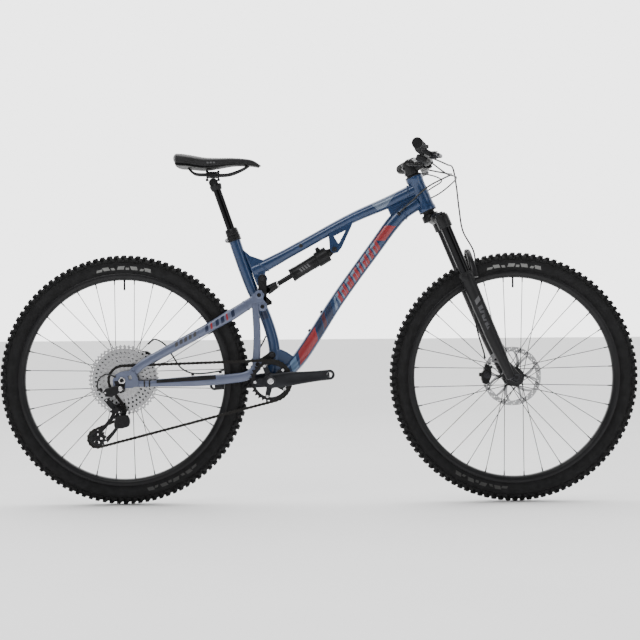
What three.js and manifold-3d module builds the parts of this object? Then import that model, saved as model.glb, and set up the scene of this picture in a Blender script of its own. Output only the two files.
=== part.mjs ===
// Full-suspension mountain bike: welded front frame, one-piece rear triangle on two short links,
// air shock, telescopic fork, 29-inch wheels, one-by drivetrain, disc brakes and dropper post.
// Millimetres. +X forward, +Z up, drive side at -Y, ground at Z = 0, origin under mid-wheelbase.
import * as THREE from "three";
import { mergeVertices } from "three/addons/utils/BufferGeometryUtils.js";
import Module from "manifold-3d";

const wasm = await Module();
wasm.setup();

// Driving dimensions
const WHEELBASE = 1165;
const WHEEL_R = 373;
const TYRE_HALF_W = 30.5;
const RIM_OUTER_R = 318;
const RIM_INNER_R = 297;
const RIM_HALF_W = 17;
const SPOKES = 32;
const SPOKE_R = 1.1;
const STANCHION_R = 16;
const LEG_Y = 65;
const REAR_HUB_HALF = 74;
const FRONT_HUB_HALF = 55;
const ROTOR_R = 90;
const BAR_HALF = 380;
const CRANK = 175;
const CRANK_RISE = THREE.MathUtils.degToRad(5.7);
const RING_TEETH = 30;
const PITCH = 12.7;
const GAP = 0.4;

// Centres, as [x, z] in the bike's mid-plane
const REAR = [-WHEELBASE / 2, WHEEL_R];
const FRONT = [WHEELBASE / 2, WHEEL_R];
const BB = [-144.5, 368];
const LINK_LOWER_FRAME = [-141.7, 443.1];
const LINK_LOWER_REAR = [-183.9, 416.8];
const LINK_UPPER_FRAME = [-168.5, 671.6];
const LINK_UPPER_REAR = [-168.5, 588.3];
const SHOCK_REAR = [-178.4, 622.8];
const SHOCK_FRONT = [48, 758.2];
const HEAD_LOW = [329.4, 873];
const HEAD_TOP = [287, 974.7];
const BAR_CLAMP = [322.7, 1019];
const SEAT_COLLAR = [-251, 789];

// Finishes: colour, roughness, metalness
const BLUE = [0x1c3a66, 0.35, 0.6];
const SILVER = [0x8d93b5, 0.4, 0.6];
const BLACK_METAL = [0x1b1b1d, 0.45, 0.7];
const DARK_ALLOY = [0x2e2e31, 0.4, 0.8];
const BRIGHT = [0xc8c8c8, 0.3, 0.95];
const STEEL = [0x8a8a8e, 0.35, 0.9];
const RUBBER = [0x161616, 0.85, 0];
const PLASTIC = [0x141414, 0.6, 0];

const bike = new THREE.Group();

// A closed three.js geometry as a solid that can be joined and cut
function solid(geometry) {
  const bare = geometry.clone();
  bare.deleteAttribute("normal");
  bare.deleteAttribute("uv");
  const merged = mergeVertices(bare, 1e-4);
  return new wasm.Manifold(new wasm.Mesh({
    numProp: 3,
    vertProperties: new Float32Array(merged.attributes.position.array),
    triVerts: new Uint32Array(merged.index.array),
  }));
}

function add(name, body, [color, roughness, metalness]) {
  const data = body.getMesh();
  const geometry = new THREE.BufferGeometry();
  geometry.setAttribute("position", new THREE.BufferAttribute(data.vertProperties, 3));
  geometry.setIndex(new THREE.BufferAttribute(data.triVerts, 1));
  geometry.computeVertexNormals();
  const material = new THREE.MeshStandardMaterial({ color, roughness, metalness });
  const mesh = new THREE.Mesh(geometry, material);
  mesh.name = name;
  bike.add(mesh);
  return mesh;
}

const join = (...bodies) => bodies.reduce((a, b) => a.add(b));
const cut = (body, ...tools) => tools.reduce((a, b) => a.subtract(b), body);
const at = ([x, z], y = 0) => new THREE.Vector3(x, y, z);

// Cylinder or cone between two points
function rod(a, b, r0, r1 = r0, sides = 12) {
  const axis = new THREE.Vector3().subVectors(b, a);
  const geometry = new THREE.CylinderGeometry(r1, r0, axis.length(), sides);
  const turn = new THREE.Quaternion().setFromUnitVectors(
    new THREE.Vector3(0, 1, 0), axis.clone().normalize());
  geometry.applyQuaternion(turn);
  geometry.translate((a.x + b.x) / 2, (a.y + b.y) / 2, (a.z + b.z) / 2);
  return solid(geometry);
}

// Cylinder along Y through a point of the mid-plane
const pin = (centre, y0, y1, r, sides = 16) => rod(at(centre, y0), at(centre, y1), r, r, sides);

// Box by centre and size, tipped about Y
function block(x, y, z, sx, sy, sz, tip = 0) {
  const geometry = new THREE.BoxGeometry(sx, sy, sz);
  geometry.rotateY(tip);
  geometry.translate(x, y, z);
  return solid(geometry);
}

// Outline in the XZ plane, extruded from y0 to y1
function plate(outline, y0, y1) {
  const shape = new THREE.Shape(outline.map(([x, z]) => new THREE.Vector2(x, z)));
  const geometry = new THREE.ExtrudeGeometry(shape, { depth: y1 - y0, bevelEnabled: false });
  geometry.rotateX(Math.PI / 2);
  geometry.translate(0, y1, 0);
  return solid(geometry);
}

// Tube along a curve; half-widths across Y and in the curve's own plane are listed by stations
function sweep(points, acrossY, inPlane, sides = 10, steps = 8, straight = false) {
  const vectors = points.map((p) => new THREE.Vector3(...p));
  const curve = straight
    ? new THREE.LineCurve3(vectors[0], vectors[1])
    : new THREE.CatmullRomCurve3(vectors, false, "centripetal");
  const ring = Array.from({ length: sides }, (_, i) => {
    const turn = 2 * Math.PI * (i + 0.5) / sides;
    return new THREE.Vector2(Math.cos(turn), Math.sin(turn));
  });
  const geometry = new THREE.ExtrudeGeometry(new THREE.Shape(ring), {
    extrudePath: curve, steps, bevelEnabled: false });
  const spine = curve.getSpacedPoints(steps);
  const tangents = spine.map((_, i) => curve.getTangentAt(i / steps));
  const position = geometry.attributes.position;
  const vertex = new THREE.Vector3();
  for (let i = 0; i < position.count; i += 1) {
    vertex.fromBufferAttribute(position, i);
    const station = nearest(spine, vertex);
    const offset = vertex.clone().sub(spine[station]);
    const side = new THREE.Vector3(0, 1, 0);
    side.addScaledVector(tangents[station], -side.dot(tangents[station])).normalize();
    const across = offset.dot(side);
    const rest = offset.addScaledVector(side, -across);
    const t = station / steps;
    rest.multiplyScalar(sample(inPlane, t)).addScaledVector(side, across * sample(acrossY, t));
    vertex.copy(spine[station]).add(rest);
    position.setXYZ(i, vertex.x, vertex.y, vertex.z);
  }
  return solid(geometry);
}

function nearest(spine, p) {
  let best = 0;
  spine.forEach((q, i) => {
    if (q.distanceToSquared(p) < spine[best].distanceToSquared(p)) best = i;
  });
  return best;
}

function sample(values, t) {
  if (typeof values === "number") return values;
  const place = t * (values.length - 1);
  const low = Math.min(Math.floor(place), values.length - 2);
  return THREE.MathUtils.lerp(values[low], values[low + 1], place - low);
}

// Solid of revolution about the Y line through a point of the mid-plane: profile of [radius, y]
function turned(centre, profile, segments = 32) {
  const points = profile.map(([r, y]) => new THREE.Vector2(r, y));
  const geometry = new THREE.LatheGeometry(points, segments);
  geometry.translate(centre[0], 0, centre[1]);
  return solid(geometry);
}

const closed = (profile) => [...profile, profile[0]];
const polar = ([x, z], r, turn) => [x + r * Math.cos(turn), z + r * Math.sin(turn)];

// ---- Front frame ----
const headAxis = new THREE.Vector3(HEAD_TOP[0] - HEAD_LOW[0], 0, HEAD_TOP[1] - HEAD_LOW[1]).normalize();
const headPoint = (along, y = 0, forward = 0) => at(HEAD_LOW, y)
  .addScaledVector(headAxis, along)
  .addScaledVector(new THREE.Vector3(headAxis.z, 0, -headAxis.x), forward);
const HEAD_LENGTH = 110;
const headRound = rod(headPoint(0), headPoint(HEAD_LENGTH), 25, 24, 16);
const headHole = rod(headPoint(-10), headPoint(HEAD_LENGTH + 10), 19.5, 19.5, 16);
add("head_tube", cut(headRound, headHole), BLUE);

const headClear = rod(headPoint(-10), headPoint(HEAD_LENGTH + 10), 25 + GAP, 24.2 + GAP, 16);
const TOP_TUBE = [[-196, 0, 695], [-150, 0, 717], [-55, 0, 768], [101, 0, 852], [213, 0, 900], [302, 0, 942]];
const topTube = cut(sweep(TOP_TUBE, [14, 16, 17, 18, 19, 20], [20, 16, 15.5, 16, 18, 20], 10, 8), headClear);
const DOWN_TUBE = [[300, 0, 896], [253, 0, 866], [222, 0, 834], [173, 0, 768], [55, 0, 606], [-10, 0, 505],
  [-64, 0, 427], [-112, 0, 376]];
const SEAT_TUBE = [[-251, 0, 788], [-245, 0, 768], [-198, 0, 637], [-169, 0, 581], [-134, 0, 461],
  [-143, 0, 386]];
const SEAT_POST_DIR = new THREE.Vector3(-315.6 + 263.9, 0, 960.5 - 811).normalize();
const postPoint = (along) => at(SEAT_COLLAR).addScaledVector(SEAT_POST_DIR, along);
const seatRound = sweep(SEAT_TUBE, [17.5, 17.5, 17, 16, 16.5, 18.5], [17.5, 17.5, 17, 17, 17, 20], 10, 8);
const seatGusset = plate([[-246, 768], [-232, 762], [-205, 742], [-160, 726], [-152, 712], [-170, 650],
  [-205, 650]], -13, 13);
const BB_HALF = 36.5;
const bbShell = pin(BB, -BB_HALF, BB_HALF, 23, 20);
const bbWeb = plate([[-150, 440], [-120, 462], [-72, 436], [-112, 384], [-136, 380]], -16, 16);
const postHole = rod(postPoint(-163), postPoint(30), 15.4, 15.4, 14);
const linkEar = (centre, y0, y1, r) => pin(centre, y0, y1, r, 16);
const seatTube = cut(
  join(seatRound, seatGusset, bbShell, bbWeb,
    linkEar(LINK_UPPER_FRAME, -20, 20, 15),
    plate([[-205, 690], [-168, 690], [-154, 671], [-168, 657], [-190, 650]], -13, 13),
    linkEar(LINK_LOWER_FRAME, -20, 20, 13)),
  pin(BB, -BB_HALF - 1, BB_HALF + 1, 18.5, 16), postHole);
const downTube = cut(
  join(sweep(DOWN_TUBE, [22, 23, 22, 21, 21, 21, 24, 28], [20, 22, 21, 20.5, 20.5, 21, 22, 20], 10, 10)),
  headClear);
add("seat_tube", seatTube, BLUE);
const seatSpace = join(
  sweep(SEAT_TUBE, [18, 18, 17.5, 16.5, 17, 19], [18, 18, 17.5, 17.5, 17.5, 20.5], 10, 8),
  plate([[-247, 770], [-231, 763], [-204, 743], [-159, 727], [-151, 712], [-169, 649], [-206, 649]],
    -13.5, 13.5),
  pin(BB, -BB_HALF - 2, BB_HALF + 2, 23 + GAP, 20),
  plate([[-151, 441], [-120, 463], [-71, 436], [-111, 383], [-137, 379]], -16.5, 16.5),
  pin(LINK_LOWER_FRAME, -21, 21, 13.5, 16), pin(LINK_UPPER_FRAME, -21, 21, 15.5, 16),
  rod(postPoint(-163), postPoint(32), 15.4, 15.4, 14));
add("down_tube", cut(downTube, seatSpace), BLUE);
const downSpace = sweep(DOWN_TUBE, [22.5, 23.5, 22.5, 21.5, 21.5, 21.5, 24.5, 28.5],
  [20.5, 22.5, 21.5, 21, 21, 21.5, 22.5, 20.5], 10, 10);

// Open triangular bracket that carries the shock's front eye
const bracketSide = (y0, y1) => cut(
  plate([[22, 804], [106, 846], [98, 828], [66, 762], [56, 750], [42, 750], [36, 760]], y0, y1),
  plate([[42, 799], [80, 818], [60, 778]], y0 - 1, y1 + 1));
const bracket = join(bracketSide(-16, -11), bracketSide(11, 16));
// Web that fills the corner between top tube and down tube behind the head tube
const headWeb = cut(plate([[206, 884], [300, 936], [318, 905], [250, 858], [214, 846]], -11, 11), downSpace, headClear);
add("top_tube", join(cut(topTube, seatSpace, downSpace), headWeb, bracket, pin(SHOCK_FRONT, -16, 16, 5, 12)), BLUE);

// Seat collar: a split band with its bolt boss behind
const collarBand = cut(
  rod(postPoint(-3), postPoint(13), 21, 21, 20),
  rod(postPoint(-4), postPoint(14), 15.9, 15.9, 16));
const collarBoss = cut(
  rod(postPoint(5).add(new THREE.Vector3(-20, -8, -7)), postPoint(5).add(new THREE.Vector3(-20, 8, -7)),
    6, 6, 10),
  rod(postPoint(-4), postPoint(14), 15.9, 15.9, 16));
const collarSeat = join(
  sweep(SEAT_TUBE, 18, 18, 10, 8),
  plate([[-247, 770], [-231, 763], [-204, 743], [-159, 727], [-205, 649]], -13.5, 13.5));
add("seat_collar", cut(join(collarBand, collarBoss), collarSeat), BLACK_METAL);

// Dropper post's outer tube with the tall sealing head
const DROP_TOP = 36;
const outerPost = join(
  rod(postPoint(-161), postPoint(15), 15, 15, 14),
  rod(postPoint(14), postPoint(DROP_TOP), 20, 17.5, 16));
add("dropper_outer", cut(outerPost, rod(postPoint(-159), postPoint(DROP_TOP + 2), 12.8, 12.8, 14)), BLACK_METAL);

// ---- Rear triangle ----
const mirrorY = (points, side) => points.map(([x, y, z]) => [x, y * side, z]);
const DROPOUT_Y = [REAR_HUB_HALF + GAP, REAR_HUB_HALF + 9];
const span = (side, [a, b]) => (side < 0 ? [-b, -a] : [a, b]);
const CHAINSTAY = [[-545, 77, 363], [-493, 72, 363], [-400, 58, 366], [-325, 46, 369.5], [-262, 40.6, 375],
  [-214, 40.2, 384], [-183.9, 38.8, 409]];
const SEATSTAY = [[-556, 76, 392], [-520, 73, 422], [-433, 58, 471], [-312, 42, 535.6], [-250, 34, 572],
  [-193, 29, 608]];

function dropout(side) {
  const outline = [[-606, 350], [-610, 372], [-600, 392], [-572, 400], [-548, 398], [-540, 376], [-536, 357],
    [-560, 352], [-585, 346]];
  return cut(plate(outline, ...span(side, DROPOUT_Y)),
    pin(REAR, side * 60, side * 100, 7.5, 14),
    plate([[-562, 374], [-552, 378], [-556, 388], [-566, 386]], ...span(side, [60, 100])));
}

function chainstay(side) {
  const stay = sweep(mirrorY(CHAINSTAY, side), [5.5, 6, 7, 7, 5.6, 5.4, 5.5], [9, 9, 12, 14, 14, 14, 12], 8, 8);
  const eye = pin(LINK_LOWER_REAR, side * 34, side * 44, 13, 14);
  const stayCut = cut(stay, pin(REAR, side * 60, side * (REAR_HUB_HALF + GAP), 30, 20));
  return join(stayCut, dropout(side), eye);
}

function seatstay(side) {
  const stay = sweep(mirrorY(SEATSTAY, side), [5, 6, 8, 9, 6, 3.8], [12, 12, 13, 14, 16, 14], 8, 7);
  const plateEnd = plate([[-214, 596], [-196, 625], [-184, 637], [-172, 637], [-163, 626], [-166, 610],
    [-155, 596], [-154, 584], [-162, 575], [-176, 575], [-188, 590]], ...span(side, [25, 32]));
  return join(stay, plateEnd);
}

const strut = (side) => sweep(mirrorY([[-190.5, 31.5, 596], [-186, 31.5, 500], [-190, 31.5, 402]], side),
  [4.3, 4.3, 4.3], [10, 10, 11], 8, 4);
const bridge = block(-201, 0, 404, 8, 66, 18);
for (const side of [-1, 1]) {
  const label = side < 0 ? "right" : "left";
  add(`chainstay_${label}`, chainstay(side), SILVER);
  const room = join(
    sweep(mirrorY(CHAINSTAY, side), [6, 6.5, 7.5, 7.5, 6.1, 5.9, 6], [9.5, 9.5, 12.5, 14.5, 14.5, 14.5, 12.5], 8, 8),
    plate([[-607, 349], [-611, 372], [-600, 393], [-572, 401], [-547, 399], [-539, 376], [-535, 356]],
      ...span(side, [REAR_HUB_HALF - 0.5, REAR_HUB_HALF + 9.5])));
  add(`seatstay_${label}`, cut(seatstay(side), room), SILVER);
}
const stayRoom = [-1, 1].map((side) => join(
  sweep(mirrorY(SEATSTAY, side), [5.5, 6.5, 8.5, 9.5, 6.5, 4.3], [12.5, 12.5, 13.5, 14.5, 16.5, 14.5], 8, 7),
  plate([[-215, 595], [-196, 626], [-162, 626], [-154, 584], [-176, 574]], ...span(side, [24.5, 32.5])),
  sweep(mirrorY(CHAINSTAY, side), [6, 6.5, 7.5, 7.5, 6.1, 5.9, 6], [9.5, 9.5, 12.5, 14.5, 14.5, 14.5, 12.5], 8, 8),
  pin(LINK_LOWER_REAR, side * 33.5, side * 44.5, 13.5, 14)));
add("rear_yoke", cut(join(strut(-1), strut(1), bridge), ...stayRoom), SILVER);
add("rear_axle", join(
  pin(REAR, -REAR_HUB_HALF - 11, REAR_HUB_HALF + 11, 6, 12),
  pin(REAR, -REAR_HUB_HALF - 13, -REAR_HUB_HALF - 9.4, 10, 16),
  pin(REAR, REAR_HUB_HALF + 9.4, REAR_HUB_HALF + 13, 10, 16)), BLACK_METAL);

// Post-mount rear caliper, above and ahead of the axle on the left
const CALIPER_TURN = 0.42;
const caliperOutline = [[-545, 404], [-530, 428], [-505, 432], [-484, 418], [-484, 400], [-505, 392], [-530, 394]]
  .map(([x, z]) => polar(REAR, Math.hypot(x - REAR[0], z - REAR[1]),
    Math.atan2(z - REAR[1], x - REAR[0]) + CALIPER_TURN));
const rearCaliperBody = plate(caliperOutline, 36, 66);
const rotorSlot = (centre) => pin(centre, 48.5, 53.5, ROTOR_R + 3, 40);
const leftStayRoom = join(stayRoom[1], plate([[-611, 340], [-611, 401], [-540, 400], [-536, 356]], 73, 90));
add("rear_brake_caliper", cut(rearCaliperBody, rotorSlot(REAR), leftStayRoom), BLACK_METAL);

// ---- Suspension links and shock ----
// Link plates lie outside the seat tube; the rear triangle's eyes lie outside the link plates.
function linkPlate(a, b, width, y0, y1) {
  const along = Math.atan2(b[1] - a[1], b[0] - a[0]);
  const half = [...Array(7).keys()].map((i) => polar(a, width, along + Math.PI / 2 + i * Math.PI / 6));
  const rest = [...Array(7).keys()].map((i) => polar(b, width * 0.9, along - Math.PI / 2 + i * Math.PI / 6));
  return plate([...half, ...rest], y0, y1);
}
const UPPER_IN = 20.4;
const UPPER_OUT = 24.4;
const upperPlates = [-1, 1].map((side) => join(
  linkPlate(LINK_UPPER_FRAME, LINK_UPPER_REAR, 13, ...span(side, [UPPER_IN, UPPER_OUT])),
  pin(LINK_UPPER_FRAME, side * UPPER_OUT - side, side * (UPPER_OUT + 2.5), 8, 12)));
const upperBridge = block(-146, 0, 600, 6, 2 * UPPER_OUT, 9);
const upperBrace = [-1, 1].map((side) => plate(
  [[-168, 628], [-150, 613], [-141, 605], [-141, 595], [-152, 592], [-164, 590]], ...span(side, [UPPER_IN, UPPER_OUT])));
add("upper_link", join(...upperPlates, ...upperBrace, upperBridge), BLACK_METAL);

const LOWER_OUT = 26;
const lowerPlates = [-1, 1].map((side) => join(
  linkPlate(LINK_LOWER_FRAME, LINK_LOWER_REAR, 11, ...span(side, [UPPER_IN, LOWER_OUT])),
  pin(LINK_LOWER_FRAME, side * LOWER_OUT - side, side * (LOWER_OUT + 2), 7, 12)));
const lowerBridge = block(-170, 0, 425, 7, 2 * LOWER_OUT, 8, -0.55);
add("lower_link", join(...lowerPlates, lowerBridge), BLACK_METAL);

const shockAxis = new THREE.Vector3(SHOCK_FRONT[0] - SHOCK_REAR[0], 0, SHOCK_FRONT[1] - SHOCK_REAR[1]);
const SHOCK_LENGTH = shockAxis.length();
shockAxis.normalize();
const shockPoint = (along, y = 0) => at(SHOCK_REAR, y).addScaledVector(shockAxis, along);
const fromFront = (back) => shockPoint(SHOCK_LENGTH - back);
const frontEye = cut(pin(SHOCK_FRONT, -10.5, 10.5, 9, 16), pin(SHOCK_FRONT, -11, 11, 5 + GAP, 14));
const canBody = cut(
  join(rod(fromFront(6), fromFront(27), 8, 11, 12), rod(fromFront(24), fromFront(62), 22, 22, 14),
    rod(fromFront(61), fromFront(150), 19, 19, 14), frontEye),
  rod(fromFront(33), fromFront(154), 13.5, 13.5, 12),
  pin(SHOCK_FRONT, -11, 11, 5 + GAP, 14));
add("shock_air_can", canBody, BLACK_METAL);
// Piston shaft with the forked extender that reaches the rear triangle's upper bolt
const yokeFork = [SHOCK_REAR[0] + 30 * shockAxis.x, SHOCK_REAR[1] + 30 * shockAxis.z];
const yokeArms = [-1, 1].map((side) => linkPlate(SHOCK_REAR, yokeFork, 9, ...span(side, [17.5, UPPER_IN - GAP])));
const yokeCross = pin(yokeFork, -UPPER_IN + GAP, UPPER_IN - GAP, 8, 12);
const yokeHead = rod(shockPoint(28), shockPoint(62), 14, 11, 12);
const shaft = rod(shockPoint(60), fromFront(96), 8, 8, 12);
const piston = rod(fromFront(100), fromFront(88), 13, 13, 14);
add("shock_shaft", join(...yokeArms, yokeCross, yokeHead, shaft, piston), DARK_ALLOY);

// ---- Wheels ----
// Tyre: open C-section carcass whose beads sit in the rim; tread zone at the full radius
const TYRE = closed([[WHEEL_R, -15], [WHEEL_R, 15], [WHEEL_R - 22, TYRE_HALF_W], [WHEEL_R - 42, 25],
  [RIM_OUTER_R + GAP, 15], [RIM_OUTER_R + GAP, 10], [WHEEL_R - 14, 16], [WHEEL_R - 14, -16],
  [RIM_OUTER_R + GAP, -10], [RIM_OUTER_R + GAP, -15], [WHEEL_R - 42, -25], [WHEEL_R - 22, -TYRE_HALF_W]]);
const RIM = closed([[RIM_OUTER_R, -RIM_HALF_W], [RIM_OUTER_R - 6, -14], [RIM_OUTER_R - 6, 14],
  [RIM_OUTER_R, RIM_HALF_W], [RIM_OUTER_R - 12, RIM_HALF_W], [RIM_INNER_R, 6], [RIM_INNER_R, -6],
  [RIM_OUTER_R - 12, -RIM_HALF_W]]);

// Hub shell with two flanges and its laced spokes, as one body around a through hole
function hubAndSpokes(centre, flangeRight, flangeLeft, ends) {
  const bodyProfile = closed([[8, ends[0]], [12, ends[0]], [13, flangeRight - 4], [28, flangeRight - 3],
    [28, flangeRight + 3], [15, flangeRight + 5], [15, flangeLeft - 5], [28, flangeLeft - 3],
    [28, flangeLeft + 3], [22, flangeLeft + 4], [22, ends[1]], [8, ends[1]]]);
  let body = turned(centre, bodyProfile, 12);
  for (let i = 0; i < SPOKES; i += 1) {
    const left = i % 2;
    const lean = (i % 4 < 2 ? 1 : -1) * 1.15;
    const turn = 2 * Math.PI * (i + 0.5) / SPOKES;
    const depth = (left ? 1 : -1) * (i % 4 < 2 ? 1.2 : -1.2);
    const hubEnd = at(polar(centre, 25, turn + lean), (left ? flangeLeft : flangeRight) + depth);
    const rimEnd = at(polar(centre, RIM_INNER_R - 2, turn), (left ? 3 : -3) + depth);
    body = body.add(rod(hubEnd, rimEnd, SPOKE_R, SPOKE_R, 3));
  }
  return body;
}

// Disc with curved-arm windows, on the left
function rotor(centre) {
  const half = 0.9;
  const ring = turned(centre, closed([[ROTOR_R - 16, -half], [ROTOR_R, -half], [ROTOR_R, half],
    [ROTOR_R - 16, half]]), 24);
  const carrier = turned(centre, closed([[23, -half], [31, -half], [31, half], [23, half]]), 12);
  const arms = [...Array(6).keys()].map((i) => {
    const turn = i * Math.PI / 3;
    return plate([polar(centre, 28, turn - 0.14), polar(centre, 28, turn + 0.14),
      polar(centre, ROTOR_R - 14, turn + 0.46), polar(centre, ROTOR_R - 14, turn + 0.36)], -half, half);
  });
  return join(ring, carrier, ...arms);
}

const ROTOR_Y = 51;
const REAR_FLANGES = [-22, 34];
const FRONT_FLANGES = [-30, 24];
for (const [label, centre, flanges, ends] of [
  ["rear", REAR, REAR_FLANGES, [-68, 66]], ["front", FRONT, FRONT_FLANGES, [-48, 50.5]]]) {
  add(`${label}_tyre`, turned(centre, TYRE, 32), RUBBER);
  add(`${label}_rim`, turned(centre, RIM, 32), BLACK_METAL);
  add(`${label}_hub_and_spokes`, hubAndSpokes(centre, ...flanges, ends), BLACK_METAL);
  const disc = rotor(centre).translate([0, label === "rear" ? ROTOR_Y : ROTOR_Y - 12, 0]);
  add(`${label}_brake_rotor`, disc, STEEL);
}

// ---- Drivetrain ----
const RING_R = PITCH / (2 * Math.sin(Math.PI / RING_TEETH));
const CHAIN_Y = -55;
const DRIVE_TEETH = 21;
const COG_R = PITCH / (2 * Math.sin(Math.PI / DRIVE_TEETH));
const COG_SPACING = 3.7;
const CHAIN_IN = 4;
const COGS = [51, 45, 39, 33, 28, 24, 21, 18, 15, 13, 11];
const cogRadius = (teeth) => PITCH / (2 * Math.sin(Math.PI / teeth));
const cogY = (i) => CHAIN_Y - (i - COGS.indexOf(DRIVE_TEETH)) * COG_SPACING;

// Cassette: large cogs as one stepped cone, the cog in use as a thin disc between grooves
const groove = cogRadius(18) - 4;
const step = (i, tip) => [[tip, cogY(i) + 0.9], [tip, cogY(i) - 0.9]];
const cassetteProfile = [[13.6, cogY(0) + 0.9], ...step(0, cogRadius(51) + 1.5), [cogRadius(39), cogY(2)],
  ...step(5, cogRadius(24) + 1.5), [groove, cogY(5) - 0.9], [groove, cogY(6) + 0.9],
  ...step(6, COG_R + 1.6), [groove, cogY(6) - 0.9], [groove, cogY(7) + 0.9], ...step(7, cogRadius(18) + 1.5),
  [cogRadius(11), cogY(10) - 0.9], [13.6, cogY(10) - 0.9]];
add("cassette", turned(REAR, closed(cassetteProfile).reverse(), 22), BRIGHT);

// Chainring: toothed rim, five arms around a hub on the spindle
const TOOTH = 2.8;
const ringOutline = [...Array(RING_TEETH * 2).keys()].map((i) => polar(
  BB, RING_R + (i % 2 ? TOOTH : -CHAIN_IN - 0.6), i * Math.PI / RING_TEETH));
let chainring = cut(plate(ringOutline, CHAIN_Y - 1, CHAIN_Y + 1), pin(BB, CHAIN_Y - 2, CHAIN_Y + 2, RING_R - 15, 20));
for (let i = 0; i < 5; i += 1) {
  const turn = CRANK_RISE + 0.62 + i * 2 * Math.PI / 5;
  chainring = chainring.add(plate([polar(BB, 18, turn - 0.45), polar(BB, RING_R - 12, turn - 0.12),
    polar(BB, RING_R - 12, turn + 0.12), polar(BB, 18, turn + 0.45)], CHAIN_Y - 1, CHAIN_Y + 1));
}
const spider = pin(BB, CHAIN_Y - 1, CHAIN_Y + 2, 24, 20);
add("chainring", cut(chainring.add(spider), pin(BB, -62, -40, 15 + GAP, 18)), BLACK_METAL);

// Cranks: tapered arms, the right one carrying the spindle
const crankDir = [Math.cos(CRANK_RISE), Math.sin(CRANK_RISE)];
const crankEnd = (sign, r = CRANK) => [BB[0] + sign * crankDir[0] * r, BB[1] + sign * crankDir[1] * r];
function crankArm(sign, yBoss, yPedal) {
  const side = Math.sign(yBoss);
  const boss = pin(BB, yBoss, yBoss + side * 13, 20, 18);
  const arm = sweep([[...at(BB, yBoss + side * 7)], [...at(crankEnd(sign, 60), yBoss + side * 9)],
    [...at(crankEnd(sign), yPedal)]], [6, 6, 6, 6], [19, 16, 14, 14], 8, 3);
  const tip = pin(crankEnd(sign), yPedal - 6.5, yPedal + 6.5, 15, 16);
  return cut(join(boss, arm, tip), pin(crankEnd(sign), yPedal - 8, yPedal + 8, 6.9, 14));
}
const spindle = pin(BB, -66, 64, 12, 16);
const ringSpace = pin(BB, CHAIN_Y - 3.2, -44, 70, 24);
const rightCrank = join(cut(crankArm(1, -59, -77), ringSpace), spindle,
  pin(BB, -60, CHAIN_Y + 6, 14.8, 18));
add("crank_right", rightCrank, BLACK_METAL);
add("crank_left", cut(crankArm(-1, 56, 74), pin(BB, 50, 66, 12 + GAP, 16)), BLACK_METAL);
// Chain: one loop over ring, cog and pulleys, a channel open towards the teeth
const GUIDE = [-598, 280];
const TENSION = [-660, 201];
const GUIDE_R = PITCH / (2 * Math.sin(Math.PI / 11));
const TENSION_R = PITCH / (2 * Math.sin(Math.PI / 13));
const CHAIN_HALF_W = 2.5;
const CHANNEL_HALF_W = 1.6;
const WRAPS = [[BB, RING_R, 1, 14], [REAR, COG_R, 1, 8], [GUIDE, GUIDE_R, -1, 5], [TENSION, TENSION_R, 1, 6]];

function runDirection([c1, r1, s1], [c2, r2, s2]) {
  const dx = c2[0] - c1[0];
  const dz = c2[1] - c1[1];
  return Math.atan2(dz, dx) + Math.asin((s1 * r1 - s2 * r2) / Math.hypot(dx, dz));
}

// The loop at a distance outside (+) or inside (-) the pitch line
function chainLine(offset) {
  const runs = WRAPS.map((wrap, i) => runDirection(wrap, WRAPS[(i + 1) % WRAPS.length]));
  const points = [];
  WRAPS.forEach(([centre, r, sense, steps], i) => {
    const arrive = runs[(i + 3) % 4] - sense * Math.PI / 2;
    const leave = runs[i] - sense * Math.PI / 2;
    let sweepAngle = (leave - arrive) % (2 * Math.PI);
    if (sweepAngle * sense < 0) sweepAngle += sense * 2 * Math.PI;
    for (let k = 0; k <= steps; k += 1) {
      points.push(polar(centre, r + sense * offset, arrive + sweepAngle * k / steps));
    }
  });
  return points;
}
function chainBand(outer, inner, halfWidth) {
  const shape = new THREE.Shape(chainLine(outer).map(([x, z]) => new THREE.Vector2(x, z)));
  shape.holes.push(new THREE.Path(chainLine(inner).map(([x, z]) => new THREE.Vector2(x, z))));
  const geometry = new THREE.ExtrudeGeometry(shape, { depth: 2 * halfWidth, bevelEnabled: false });
  geometry.rotateX(Math.PI / 2);
  geometry.translate(0, CHAIN_Y + halfWidth, 0);
  return solid(geometry);
}
add("chain", cut(chainBand(CHAIN_IN, -CHAIN_IN, CHAIN_HALF_W), chainBand(3.2, -5, CHANNEL_HALF_W)), STEEL);

// Rear derailleur: knuckle on the hanger bolt, two links, cage knuckle, cage with two pulleys
const HANGER_BOLT = [-586, 349];
const CAGE_PIVOT = [-584, 262];
const bodyKnuckle = join(
  pin(HANGER_BOLT, -100, -84, 10, 16),
  plate([[-592, 358], [-630, 350], [-634, 337], [-628, 326], [-612, 326], [-598, 332], [-586, 339]], -104, -88));
add("derailleur_body", bodyKnuckle, BLACK_METAL);
const linkBar = (y0, y1) => plate([[-634, 317], [-622, 321.5], [-600, 300], [-582, 283], [-588, 275.5],
  [-606, 284]], y0, y1);
add("derailleur_links", join(linkBar(-104, -100), linkBar(-92, -88), block(-602, -96, 295, 8, 16, 8, 0.8)), DARK_ALLOY);
add("derailleur_knuckle", join(
  plate([[-600, 266], [-580, 272], [-564, 272], [-558, 260], [-562, 238], [-600, 232], [-604, 250]],
    -104, -84),
  pin(CAGE_PIVOT, -85, CHAIN_Y - 5.8, 11, 16)), BLACK_METAL);
const cageOutline = [[-612, 292], [-596, 298], [-580, 290], [-574, 268], [-578, 250], [-630, 186],
  [-648, 176], [-668, 178], [-676, 192], [-672, 210], [-640, 240]];
const pulleyPin = (centre) => pin(centre, CHAIN_Y - 5.4, CHAIN_Y + 5.4, 3, 10);
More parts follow.
